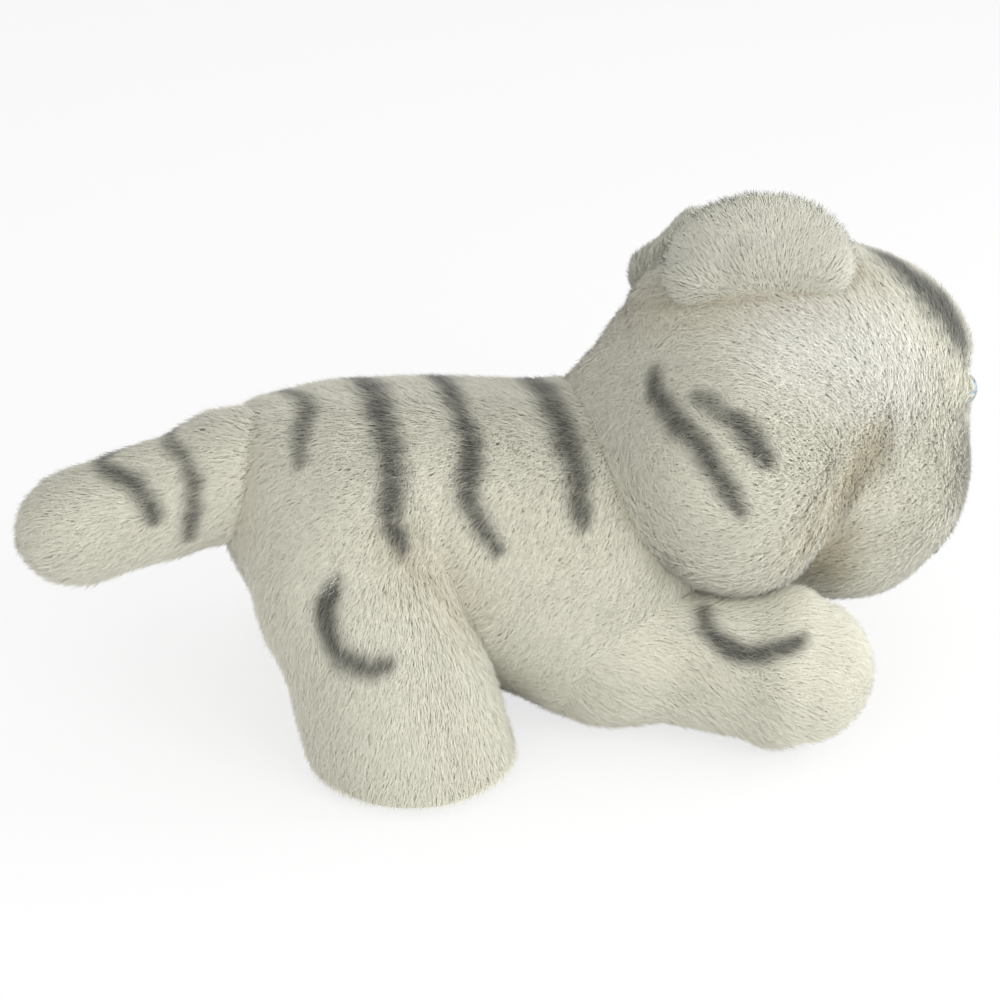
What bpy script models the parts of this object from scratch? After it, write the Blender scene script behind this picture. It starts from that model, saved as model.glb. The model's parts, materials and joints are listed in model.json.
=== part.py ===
# Plush tiger cub, lying on its belly with the head turned and tilted to its left.
# Metres, +Z up, +X towards the head. The origin is under the middle of the toy, on the floor.
import math

import bmesh
import bpy
from mathutils import Matrix, Vector

COLLECTION_NAME = "plush_tiger"

# Clearances
SEAM_GAP = 0.0004
FIT_GAP = 0.0003
LEG_HEAD_GAP = 0.0020
FLOOR_CUT = 0.0005
CUT_OVERRUN = 0.020

# Body: a stuffed trunk that lies on its belly, higher at the rump
BODY_REAR = -0.128
BODY_LENGTH = 0.208
BODY_WIDTH = 0.124
BODY_HEIGHT = 0.122
BODY_BOXY_SHARE = 0.18
# Each ring: place along, centre height, half width and half height, as shares of the sizes above
BODY_END_SHARES = (0.000, 0.800, 1.000, 0.520)
BODY_RING_SHARES = (
    (0.045, 0.790, 0.270, 0.270),
    (0.160, 0.745, 0.410, 0.370),
    (0.360, 0.650, 0.480, 0.470),
    (0.580, 0.545, 0.520, 0.535),
    (0.790, 0.515, 0.520, 0.535),
    (0.940, 0.540, 0.400, 0.450),
)

# Head: a skull ball that turns in the neck seam, with a brow, a bridge and two cheeks that
# blend into it. Their places are in the head's own frame, from the skull's centre.
SKULL_RADIUS = 0.068
SKULL_X = 0.0935
SKULL_Z = 0.1195
BROW_LENGTH = 0.092
BROW_WIDTH = 0.096
BROW_HEIGHT = 0.088
BROW_FORWARD = 0.055
BROW_RISE = 0.015
CHEEK_LENGTH = 0.082
CHEEK_WIDTH = 0.064
CHEEK_HEIGHT = 0.076
CHEEK_FORWARD = -0.021
CHEEK_SIDE = 0.035
CHEEK_DROP = 0.047
BRIDGE_RADIUS = 0.018
BRIDGE_LENGTH = 0.018
BRIDGE_FORWARD = 0.079
BRIDGE_DROP = 0.015
BROW_BLEND = 0.020
CHEEK_BLEND = 0.012
HEAD_TURN_DEG = 15.0
HEAD_TILT_DEG = 18.0
HEAD_NOD_DEG = 12.0
# The head's turns, beside its rest, that its seat and the legs leave room for
HEAD_ROOM_DEG = (-12.0, -7.0, -3.0, 4.0, 12.0)

# Muzzle and chin, placed in the head's own frame
MUZZLE_LENGTH = 0.084
MUZZLE_WIDTH = 0.092
MUZZLE_HEIGHT = 0.070
MUZZLE_FORWARD = 0.060
MUZZLE_DROP = 0.050
CHIN_LENGTH = 0.050
CHIN_WIDTH = 0.050
CHIN_HEIGHT = 0.034
CHIN_FORWARD = 0.048
CHIN_DROP = 0.077

# Ears: rounded cupped flaps on a rolled root that lies in a groove of the head
EAR_WIDTH = 0.068
EAR_HEIGHT = 0.031
EAR_THICKNESS = 0.013
EAR_CUP_DEPTH = 0.012
EAR_ROOT_LENGTH = 0.050
EAR_ROOT_RADIUS = 0.008
EAR_SIDE = 0.039
EAR_FORWARD = -0.021
EAR_SPLAY_DEG = 40.0
EAR_LEFT_LEAN_DEG = 48.0
EAR_RIGHT_LEAN_DEG = 38.0
LINING_THICKNESS = 0.0035
LINING_MARGIN = 0.010

# Front legs: a ball at the shoulder and a thick rounded leg
SHOULDER_X = 0.014
SHOULDER_Y = 0.046
SHOULDER_Z = 0.036
SHOULDER_RADIUS = 0.032
PAW_X = 0.088
PAW_Y = 0.080
FRONT_LEG_RADIUS = 0.0280
FRONT_LEG_SPREAD_DEG = 22.0
# The last ring before the paw's tip: how far along the paw's end, and how big
PAW_END_SHARES = (0.62, 0.86)

# Hind legs: a round haunch, flat towards the body's middle, on a wide foot
HIP_X = -0.083
HIP_Y = 0.042
HIP_Z = 0.071
HAUNCH_RADIUS = 0.042
HAUNCH_HALF_WIDTH = 0.030
FOOT_X = -0.065
FOOT_Y = 0.062
FOOT_LENGTH = 0.084
FOOT_WIDTH = 0.078
FOOT_HEIGHT = 0.072
FOOT_TOP_SHARE = 1.10
SOLE_THICKNESS = 0.0040
SOLE_INSET = 0.0080
HIND_LEG_SWING_DEG = 15.0

# Tail
TAIL_ROOT_X = -0.120
TAIL_ROOT_Z = 0.106
TAIL_ROOT_RADIUS = 0.0265
TAIL_TIP_X = -0.207
TAIL_TIP_Z = 0.081
TAIL_RADIUS = 0.0225

# Safety eyes and nose
EYE_DIAMETER = 0.0145
EYE_DOME_HEIGHT = 0.0062
EYE_SINK = 0.0040
EYE_RIM_SHARE = 0.20
EYE_RINGS = 6
EYE_BEARING_DEG = 21.0
EYE_RISE_DEG = 0.0
POST_DIAMETER = 0.0036
POST_LENGTH = 0.0140
POST_RIB_HEIGHT = 0.0005
POST_RIB_PITCH = 0.0022
WASHER_DIAMETER = 0.0130
WASHER_THICKNESS = 0.0012
WASHER_DEPTH = 0.0085
NOSE_WIDTH = 0.0240
NOSE_HEIGHT = 0.0165
NOSE_DEPTH = 0.0080
NOSE_RISE = 0.0120
NOSE_FORWARD = 0.0365
NOSE_TIP_UP_DEG = 18.0
NOSE_FOOT_SHARE = 0.45
NOSE_FRONT_SHARE = 0.72
NOSE_SEAT_SHARE = 0.25
# How far a cube's faces keep their places when it is subdivided once
CUBE_KEEP_SHARE = 0.84

# Facets
BODY_SEGMENTS = 16
LIMB_SEGMENTS = 12
HEAD_FACETS = 36
HAUNCH_FACETS = 32
SHOULDER_FACETS = 28
TAIL_FACETS = 24
SMALL_FACETS = 16
EAR_FACETS = 20
SOLE_FACETS = 40
FORM_LEVELS = 1
SHARP_DEG = 35.0

WHITE_FUR = (0.86, 0.84, 0.78)
EAR_LINING = (0.90, 0.86, 0.80)
EYE_COLOUR = (0.05, 0.09, 0.16)
NOSE_COLOUR = (0.55, 0.30, 0.28)
WASHER_COLOUR = (0.80, 0.80, 0.78)

AXIS_X = Vector((1.0, 0.0, 0.0))
AXIS_Y = Vector((0.0, 1.0, 0.0))
AXIS_Z = Vector((0.0, 0.0, 1.0))


def clear_scene():
    for obj in list(bpy.data.objects):
        bpy.data.objects.remove(obj, do_unlink=True)


def new_collection(name):
    collection = bpy.data.collections.new(name)
    bpy.context.scene.collection.children.link(collection)
    return collection


def new_material(name, colour, roughness):
    material = bpy.data.materials.new(name)
    material.use_nodes = True
    shader = material.node_tree.nodes["Principled BSDF"]
    shader.inputs["Base Color"].default_value = (*colour, 1.0)
    shader.inputs["Roughness"].default_value = roughness
    shader.inputs["Metallic"].default_value = 0.0
    return material


def fur(name, colour=WHITE_FUR):
    return new_material(name + "_cloth", colour, 0.95)


clear_scene()
PARTS = new_collection(COLLECTION_NAME)
CUTTERS = new_collection("cutters")


# Helpers that make objects

def new_empty(name, parent=None, matrix=Matrix.Identity(4)):
    empty = bpy.data.objects.new(name, None)
    PARTS.objects.link(empty)
    empty.parent = parent
    empty.matrix_local = matrix
    return empty


def new_object(name, mesh, parent, material=None):
    """A part when it has a material, and otherwise a cutter."""
    obj = bpy.data.objects.new(name, mesh)
    obj.parent = parent
    if material is None:
        CUTTERS.objects.link(obj)
        obj.hide_render = True
        obj.display_type = "WIRE"
    else:
        PARTS.objects.link(obj)
        mesh.materials.append(material)
    return obj


def mesh_from(bm, name, smooth=True):
    bmesh.ops.recalc_face_normals(bm, faces=bm.faces)
    if bm.calc_volume(signed=True) < 0.0:
        bmesh.ops.reverse_faces(bm, faces=bm.faces)
    mesh = bpy.data.meshes.new(name)
    bm.to_mesh(mesh)
    bm.free()
    if smooth:
        mesh.shade_smooth()
    return mesh


def subdivide(obj, levels=FORM_LEVELS):
    modifier = obj.modifiers.new("stuffed", "SUBSURF")
    modifier.levels = levels
    modifier.render_levels = levels


def grow(obj, gap):
    modifier = obj.modifiers.new("clearance", "DISPLACE")
    modifier.strength = gap
    modifier.mid_level = 0.0


def boolean(obj, other, operation="DIFFERENCE"):
    modifier = obj.modifiers.new(operation.lower() + "_" + other.name, "BOOLEAN")
    modifier.operation = operation
    modifier.solver = "EXACT"
    modifier.object = other


def squared(value, boxy_share):
    """A sine or cosine drawn out towards a square, for a section with fuller corners."""
    return math.copysign(abs(value) ** (1.0 - boxy_share), value)


def ring_mesh(name, start, rings, end, segments, boxy_share=0.0):
    """A ball whose rings are moved to given centres and half sizes, as the cage of a soft form.

    Subdividing draws a ring's points inwards, so they first go out by the inverse of that share.
    """
    bm = bmesh.new()
    steps = len(rings) + 1
    bmesh.ops.create_uvsphere(bm, u_segments=segments, v_segments=steps, radius=1.0)
    swell = 8.0 / (6.0 + 2.0 * math.cos(2.0 * math.pi / segments))
    for vertex in bm.verts:
        place = math.acos(max(-1.0, min(1.0, -vertex.co.z)))
        level = round(place * steps / math.pi)
        if level == 0:
            vertex.co = start
        elif level == steps:
            vertex.co = end
        else:
            centre, side, rise = rings[level - 1]
            angle = math.atan2(vertex.co.y, vertex.co.x)
            across = side * squared(math.cos(angle), boxy_share)
            vertex.co = centre + swell * (across + rise * squared(math.sin(angle), boxy_share))
    return mesh_from(bm, name)


def turned_ball_mesh(name, radius, half_length, axis, facets):
    """A ball, or one flattened along the axis that it turns about."""
    bm = bmesh.new()
    bmesh.ops.create_uvsphere(bm, u_segments=facets, v_segments=facets // 2, radius=1.0)
    size = Matrix.Diagonal((radius, radius, half_length, 1.0))
    turn = AXIS_Z.rotation_difference(axis).to_matrix().to_4x4()
    bmesh.ops.transform(bm, matrix=turn @ size, verts=bm.verts)
    return mesh_from(bm, name)


def turned_profile_mesh(name, points, facets=SMALL_FACETS):
    """A closed profile of (radius, height) points, turned about Z; its ends lie on the axis."""
    bm = bmesh.new()
    vertices = [bm.verts.new((radius, 0.0, height)) for radius, height in points]
    edges = [bm.edges.new(pair) for pair in zip(vertices, vertices[1:])]
    bmesh.ops.spin(
        bm, geom=vertices + edges, cent=(0.0, 0.0, 0.0), axis=AXIS_Z,
        angle=2.0 * math.pi, steps=facets, use_merge=True)
    bmesh.ops.remove_doubles(bm, verts=bm.verts, dist=FIT_GAP / 100.0)
    return mesh_from(bm, name, smooth=False)


def smooth_round(mesh):
    mesh.shade_smooth()
    mesh.set_sharp_from_angle(angle=math.radians(SHARP_DEG))


def cut_together(obj, cutters):
    """One Boolean for several cutters, so that no cut works on the rounded result of another."""
    group = bpy.data.collections.new(obj.name + "_cutters")
    CUTTERS.children.link(group)
    for cutter in cutters:
        group.objects.link(cutter)
    modifier = obj.modifiers.new("difference_" + group.name, "BOOLEAN")
    modifier.operation = "DIFFERENCE"
    modifier.solver = "EXACT"
    modifier.operand_type = "COLLECTION"
    modifier.collection = group


def box_cutter(name, low, high, parent):
    bm = bmesh.new()
    bmesh.ops.create_cube(bm, size=1.0)
    size = [b - a for a, b in zip(low, high)]
    middle = [(a + b) / 2.0 for a, b in zip(low, high)]
    matrix = Matrix.Translation(middle) @ Matrix.Diagonal((*size, 1.0))
    bmesh.ops.transform(bm, matrix=matrix, verts=bm.verts)
    return new_object(name, mesh_from(bm, name, smooth=False), parent)


# Frames: the toy's root, the pivots of its seams and the head's own tilted frame

ROOT = new_empty("toy_root")
NECK = new_empty("neck_pivot", ROOT, Matrix.Translation((SKULL_X, 0.0, SKULL_Z)))
HEAD_POSE = (
    Matrix.Rotation(math.radians(HEAD_TURN_DEG), 4, "Z")
    @ Matrix.Rotation(math.radians(HEAD_NOD_DEG), 4, "Y")
    @ Matrix.Rotation(-math.radians(HEAD_TILT_DEG), 4, "X")
)
FACE = new_empty("face_frame", NECK, HEAD_POSE)
TAIL_PIVOT = new_empty("tail_pivot", ROOT, Matrix.Translation((TAIL_ROOT_X, 0.0, TAIL_ROOT_Z)))
FLOOR = box_cutter(
    "floor_cutter",
    (-2.0 * BODY_LENGTH, -2.0 * BODY_WIDTH, -BODY_HEIGHT),
    (2.0 * BODY_LENGTH, 2.0 * BODY_WIDTH, 0.0),
    ROOT)


# Head

def ball_distance(point, centre, halves):
    """About how far a point is outside a ball of three half sizes."""
    local = point - centre
    share = Vector([a / b for a, b in zip(local, halves)]).length
    slope = Vector([a / b ** 2 for a, b in zip(local, halves)]).length
    return share * (share - 1.0) / slope if slope > 0.0 else -min(halves)


def blended(first, second, blend):
    """The nearer of two distances, with the crease between the forms filled softly."""
    share = max(0.0, min(1.0, 0.5 + 0.5 * (second - first) / blend))
    return second * (1.0 - share) + first * share - blend * share * (1.0 - share)


def head_distance(point):
    """About how far a point of the head's frame is outside the head."""
    skull = point.length - SKULL_RADIUS
    brow = ball_distance(
        point, Vector((BROW_FORWARD, 0.0, BROW_RISE)), (BROW_LENGTH / 2.0, BROW_WIDTH / 2.0, BROW_HEIGHT / 2.0))
    form = blended(skull, brow, BROW_BLEND)
    for side in (1.0, -1.0):
        cheek = ball_distance(
            point, Vector((CHEEK_FORWARD, side * CHEEK_SIDE, -CHEEK_DROP)),
            (CHEEK_LENGTH / 2.0, CHEEK_WIDTH / 2.0, CHEEK_HEIGHT / 2.0))
        form = blended(form, cheek, CHEEK_BLEND)
    level = max(-BRIDGE_LENGTH / 2.0, min(BRIDGE_LENGTH / 2.0, point.z + BRIDGE_DROP))
    bridge = (point - Vector((BRIDGE_FORWARD, 0.0, level - BRIDGE_DROP))).length - BRIDGE_RADIUS
    return blended(form, bridge, CHEEK_BLEND)


def head_reach(ray):
    """How far the head's surface is from the skull's centre along a ray of the head's frame."""
    near, far = 0.0, SKULL_RADIUS + BROW_FORWARD + BROW_LENGTH
    while far - near > FIT_GAP / 100.0:
        middle = (near + far) / 2.0
        if head_distance(ray * middle) < 0.0:
            near = middle
        else:
            far = middle
    return near


def head_mesh(name, gap, turns_deg=(0.0,)):
    """The head, or the room that it needs at several turns, in the neck's frame."""
    bm = bmesh.new()
    bmesh.ops.create_uvsphere(bm, u_segments=HEAD_FACETS, v_segments=HEAD_FACETS // 2, radius=1.0)
    to_face = HEAD_POSE.to_3x3().transposed()
    turns = [to_face @ Matrix.Rotation(-math.radians(turn), 3, "Z") for turn in turns_deg]
    for vertex in bm.verts:
        ray = vertex.co.normalized()
        vertex.co = ray * (max(head_reach(turn @ ray) for turn in turns) + gap)
    bmesh.ops.triangulate(bm, faces=bm.faces, quad_method="FIXED")
    return mesh_from(bm, name)


def muzzle_mesh(name):
    half = MUZZLE_LENGTH / 2.0
    side = AXIS_Y * MUZZLE_WIDTH / 2.0
    rise = AXIS_Z * MUZZLE_HEIGHT / 2.0
    ring_shares = ((-0.62, 0.80, 0.80), (-0.05, 1.00, 1.00), (0.52, 0.86, 0.84), (0.88, 0.46, 0.48))
    rings = [(AXIS_X * half * along, side * wide, rise * tall) for along, wide, tall in ring_shares]
    return ring_mesh(name, -AXIS_X * half, rings, AXIS_X * half, LIMB_SEGMENTS)


def chin_mesh(name):
    half = CHIN_LENGTH / 2.0
    side = AXIS_Y * CHIN_WIDTH / 2.0
    rise = AXIS_Z * CHIN_HEIGHT / 2.0
    ring_shares = ((-0.60, 0.80), (0.00, 1.00), (0.60, 0.78))
    rings = [(AXIS_X * half * along, side * size, rise * size) for along, size in ring_shares]
    return ring_mesh(name, -AXIS_X * half, rings, AXIS_X * half, LIMB_SEGMENTS)


def make_muzzle():
    place = Matrix.Translation((MUZZLE_FORWARD, 0.0, -MUZZLE_DROP))
    muzzle = new_object("muzzle", muzzle_mesh("muzzle"), FACE, fur("muzzle"))
    muzzle.matrix_local = place
    subdivide(muzzle)
    cutter = new_object("muzzle_cutter", muzzle_mesh("muzzle_cutter"), FACE)
    cutter.matrix_local = place
    subdivide(cutter)
    grow(cutter, FIT_GAP)
    chin = new_object("chin", chin_mesh("chin"), FACE, fur("chin"))
    chin.matrix_local = Matrix.Translation((CHIN_FORWARD, 0.0, -CHIN_DROP))
    subdivide(chin)
    cut_together(chin, [SKULL_CUTTER, cutter])
    return muzzle


# Safety eyes and nose: a dome or pad on a ribbed post, held inside by a lock washer

def post_points(head_level):
    """The ribbed post below a level, from its tip up to where the dome's back begins."""
    radius = POST_DIAMETER / 2.0
    points = [(0.0, -POST_LENGTH), (radius, -POST_LENGTH)]
    ribs = int((POST_LENGTH - WASHER_DEPTH) / POST_RIB_PITCH)
    for rib in range(ribs):
        foot = -POST_LENGTH + (rib + 0.5) * POST_RIB_PITCH
        points.append((radius, foot))
        points.append((radius + POST_RIB_HEIGHT, foot))
        points.append((radius, foot + POST_RIB_PITCH / 2.0))
    points.append((radius, head_level))
    return points


def eye_points():
    radius = EYE_DIAMETER / 2.0
    rim = EYE_DOME_HEIGHT * EYE_RIM_SHARE
    points = post_points(-rim)
    points.append((radius, -rim))
    for ring in range(EYE_RINGS):
        angle = math.pi / 2.0 * ring / EYE_RINGS
        points.append((radius * math.cos(angle), EYE_DOME_HEIGHT * math.sin(angle)))
    points.append((0.0, EYE_DOME_HEIGHT))
    return points


def washer_points():
    inner = POST_DIAMETER / 2.0 + POST_RIB_HEIGHT + FIT_GAP
    outer = WASHER_DIAMETER / 2.0
    low = -WASHER_DEPTH - WASHER_THICKNESS
    rim = WASHER_THICKNESS / 2.0
    return [(inner, low), (outer, low), (outer, low + rim), (inner, low + WASHER_THICKNESS), (inner, low)]


def pocket_points(mouth_radius, mouth_depth):
    """The hollow for a post and its washer, from its blind end out through the cover."""
    bore = POST_DIAMETER / 2.0 + POST_RIB_HEIGHT + FIT_GAP
    wide = WASHER_DIAMETER / 2.0 + FIT_GAP
    top = -WASHER_DEPTH + FIT_GAP
    bottom = -WASHER_DEPTH - WASHER_THICKNESS - FIT_GAP
    end = -POST_LENGTH - FIT_GAP
    return [
        (0.0, end), (bore, end), (bore, bottom), (wide, bottom), (wide, top), (bore, top),
        (bore, -mouth_depth), (mouth_radius, -mouth_depth), (mouth_radius, CUT_OVERRUN), (0.0, CUT_OVERRUN)]


def head_normal(place):
    steps = [axis * FIT_GAP for axis in (AXIS_X, AXIS_Y, AXIS_Z)]
    return Vector([head_distance(place + step) - head_distance(place - step) for step in steps]).normalized()


def eye_matrix(side):
    """The eye's frame in the head: its place on the face, with Z straight out."""
    bearing = math.radians(EYE_BEARING_DEG) * side
    rise = math.radians(EYE_RISE_DEG)
    ray = Vector((
        math.cos(rise) * math.cos(bearing), math.cos(rise) * math.sin(bearing), math.sin(rise)))
    place = ray * head_reach(ray)
    normal = head_normal(place)
    turn = AXIS_Z.rotation_difference(normal).to_matrix().to_4x4()
    return Matrix.Translation(place - normal * EYE_SINK) @ turn


def make_eyes():
    pockets = []
    for side, label in ((1.0, "left"), (-1.0, "right")):
        frame = eye_matrix(side)
        eye = new_object(
            "eye_" + label, turned_profile_mesh("eye", eye_points()), FACE,
            new_material("eye_plastic_" + label, EYE_COLOUR, 0.08))
        eye.matrix_local = frame
        smooth_round(eye.data)
        washer = new_object(
            "eye_washer_" + label, turned_profile_mesh("eye_washer", washer_points()), FACE,
            new_material("washer_plastic_" + label, WASHER_COLOUR, 0.45))
        washer.matrix_local = frame
        smooth_round(washer.data)
        mouth_depth = EYE_DOME_HEIGHT * EYE_RIM_SHARE + FIT_GAP
        points = pocket_points(EYE_DIAMETER / 2.0 + FIT_GAP, mouth_depth)
        pocket = new_object("eye_pocket_" + label, turned_profile_mesh("eye_pocket", points), FACE)
        pocket.matrix_local = frame
        pockets.append(pocket)
    return pockets


def nose_pad_mesh(name):
    """A rounded pad, wide at its top and narrow at its foot; its frame has X down and Z out."""
    bm = bmesh.new()
    bmesh.ops.create_cube(bm, size=1.0)
    for vertex in bm.verts:
        wide = NOSE_WIDTH * (NOSE_FOOT_SHARE if vertex.co.x > 0.0 else 1.0)
        inset = NOSE_FRONT_SHARE if vertex.co.z > 0.0 else 1.0
        vertex.co.x *= NOSE_HEIGHT * inset / CUBE_KEEP_SHARE
        vertex.co.y *= wide * inset / CUBE_KEEP_SHARE
        vertex.co.z *= NOSE_DEPTH / CUBE_KEEP_SHARE
    return mesh_from(bm, name)


def make_nose(muzzle):
    out = Vector((1.0, 0.0, math.tan(math.radians(NOSE_TIP_UP_DEG)))).normalized()
    place = Vector((MUZZLE_FORWARD + NOSE_FORWARD, 0.0, NOSE_RISE - MUZZLE_DROP))
    turn = AXIS_Z.rotation_difference(out).to_matrix().to_4x4()
    frame = Matrix.Translation(place) @ turn
    post_mesh = turned_profile_mesh("nose_post", post_points(0.0) + [(0.0, 0.0)])
    post = new_object("nose_post", post_mesh, FACE)
    nose = new_object("nose", nose_pad_mesh("nose"), FACE, new_material("nose_plastic", NOSE_COLOUR, 0.35))
    subdivide(nose)
    boolean(nose, post, "UNION")
    pad = new_object("nose_seat", nose_pad_mesh("nose_seat"), FACE)
    subdivide(pad)
    grow(pad, FIT_GAP)
    points = pocket_points(POST_DIAMETER, NOSE_DEPTH * NOSE_SEAT_SHARE)
    points[-2:] = [(POST_DIAMETER, 0.0), (0.0, 0.0)]
    pocket = new_object("nose_pocket", turned_profile_mesh("nose_pocket", points), FACE)
    washer = new_object(
        "nose_washer", turned_profile_mesh("nose_washer", washer_points()), FACE,
        new_material("nose_washer_plastic", WASHER_COLOUR, 0.45))
    smooth_round(washer.data)
    for obj in (post, nose, pad, pocket, washer):
        obj.matrix_local = frame
    cut_together(muzzle, [SKULL_CUTTER, pad, pocket])
    return [pad, pocket]


# Ears

def ear_frame(side, lean_deg):
    """X along the root, Y towards the ear's open face, Z up the flap."""
    seat_radius = SKULL_RADIUS - EAR_ROOT_RADIUS / 2.0
    across = side * EAR_SIDE
    up = math.sqrt(seat_radius ** 2 - EAR_FORWARD ** 2 - across ** 2)
    place = Vector((EAR_FORWARD, across, up))
    outward = place.normalized()
    splay = math.radians(EAR_SPLAY_DEG)
    root_axis = Vector((-side * math.cos(splay), -math.sin(splay), 0.0))
    root_axis = (root_axis - outward * root_axis.dot(outward)).normalized()
    face = outward.cross(root_axis)
    frame = Matrix((root_axis, face, outward)).transposed().to_4x4()
    lean = Matrix.Rotation(-math.radians(lean_deg), 4, "X")
    return Matrix.Translation(place) @ frame @ lean


def ear_flap_mesh(name, width, height, thickness, foot, offset):
    """A rounded flap from a foot height upwards, cupped towards +Y."""
    half = width / 2.0
    rise = height - foot
    ring_shares = ((0.05, 0.66, 0.60), (0.28, 0.94, 0.90), (0.58, 1.00, 1.00), (0.85, 0.74, 0.85))
    rings = [
        (AXIS_Z * (foot + rise * up), AXIS_X * half * wide, AXIS_Y * thickness / 2.0 * thick)
        for up, wide, thick in ring_shares]
    mesh = ring_mesh(name, AXIS_Z * foot, rings, AXIS_Z * height, LIMB_SEGMENTS)
    for vertex in mesh.vertices:
        along = vertex.co.x / (EAR_WIDTH / 2.0)
        upward = max(0.0, vertex.co.z / EAR_HEIGHT)
        vertex.co.y += EAR_CUP_DEPTH * along ** 2 * upward + offset
    return mesh


def make_ears():
    grooves = []
    for side, label, lean_deg in ((1.0, "left", EAR_LEFT_LEAN_DEG), (-1.0, "right", EAR_RIGHT_LEAN_DEG)):
        pivot = new_empty("ear_pivot_" + label, FACE, ear_frame(side, lean_deg))
        ear = new_object(
            "ear_" + label,
            turned_ball_mesh("ear_root", EAR_ROOT_RADIUS, EAR_ROOT_LENGTH / 2.0, AXIS_X, EAR_FACETS),
            pivot, fur("ear_" + label))
        flap = new_object(
            "ear_flap_" + label,
            ear_flap_mesh("ear_flap", EAR_WIDTH, EAR_HEIGHT, EAR_THICKNESS, 0.0, 0.0), pivot)
        subdivide(flap)
        boolean(flap, SKULL_CUTTER)
        boolean(ear, flap, "UNION")
        lining_offset = EAR_THICKNESS / 2.0 - LINING_THICKNESS / 4.0
        lining_size = (
            EAR_WIDTH - 2.0 * LINING_MARGIN, EAR_HEIGHT - LINING_MARGIN, LINING_THICKNESS,
            LINING_MARGIN + EAR_ROOT_RADIUS / 2.0, lining_offset)
        lining = new_object(
            "ear_lining_" + label, ear_flap_mesh("ear_lining", *lining_size),
            pivot, fur("ear_lining_" + label, EAR_LINING))
        subdivide(lining)
        dish = new_object("ear_dish_" + label, ear_flap_mesh("ear_dish", *lining_size), pivot)
        subdivide(dish)
        grow(dish, FIT_GAP)
        boolean(ear, dish)
        groove = new_object(
            "ear_groove_" + label,
            turned_ball_mesh(
                "ear_groove", EAR_ROOT_RADIUS + SEAM_GAP, EAR_ROOT_LENGTH / 2.0 + SEAM_GAP,
                AXIS_X, EAR_FACETS), pivot)
        grooves.append(groove)
    return grooves


# Body

def body_mesh():
    rings = []
    for along, high, wide, tall in BODY_RING_SHARES:
        centre = Vector((BODY_REAR + BODY_LENGTH * along, 0.0, BODY_HEIGHT * high - FLOOR_CUT))
        rings.append((centre, AXIS_Y * BODY_WIDTH * wide, AXIS_Z * BODY_HEIGHT * tall))
    start_along, start_high, end_along, end_high = BODY_END_SHARES
    start = Vector((BODY_REAR + BODY_LENGTH * start_along, 0.0, BODY_HEIGHT * start_high))
    end = Vector((BODY_REAR + BODY_LENGTH * end_along, 0.0, BODY_HEIGHT * end_high))
    return ring_mesh("body", start, rings, end, BODY_SEGMENTS, BODY_BOXY_SHARE)


def make_body():
    body = new_object("body", body_mesh(), ROOT, fur("body"))
    subdivide(body)
    neck_seat = new_object("neck_seat", head_mesh("neck_seat", SEAM_GAP, (0.0, *HEAD_ROOM_DEG)), NECK)
    return body, [FLOOR, neck_seat]


# Tail

def make_tail():
    root = turned_ball_mesh("tail", TAIL_ROOT_RADIUS, TAIL_ROOT_RADIUS, AXIS_Z, TAIL_FACETS)
    tail = new_object("tail", root, TAIL_PIVOT, fur("tail"))
    reach = Vector((TAIL_TIP_X - TAIL_ROOT_X, 0.0, TAIL_TIP_Z - TAIL_ROOT_Z))
    across = AXIS_Y * TAIL_RADIUS
    rise = reach.cross(AXIS_Y).normalized() * TAIL_RADIUS
    ring_shares = ((0.10, 1.00), (0.30, 1.08), (0.60, 1.02), (0.84, 0.98), (0.97, 0.62))
    rings = [(reach * along, across * size, rise * size) for along, size in ring_shares]
    tube = new_object("tail_tube", ring_mesh("tail_tube", Vector(), rings, reach, LIMB_SEGMENTS), TAIL_PIVOT)
    subdivide(tube)
    boolean(tail, tube, "UNION")
    seat_radius = TAIL_ROOT_RADIUS + SEAM_GAP
    return new_object(
        "tail_seat", turned_ball_mesh("tail_seat", seat_radius, seat_radius, AXIS_Z, TAIL_FACETS), TAIL_PIVOT)


# Legs

def swept_hull(name, mesh, axis, angles_deg, parent):
    """The space that a convex piece passes through as it turns about the parent's origin."""
    bm = bmesh.new()
    for angle in angles_deg:
        turn = Matrix.Rotation(math.radians(angle), 3, axis)
        for vertex in mesh.vertices:
            bm.verts.new(turn @ vertex.co)
    hull = bmesh.ops.convex_hull(bm, input=bm.verts)
    loose = [item for item in hull["geom_interior"] if isinstance(item, bmesh.types.BMVert)]
    bmesh.ops.delete(bm, geom=loose, context="VERTS")
    return new_object(name, mesh_from(bm, name, smooth=False), parent)


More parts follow.
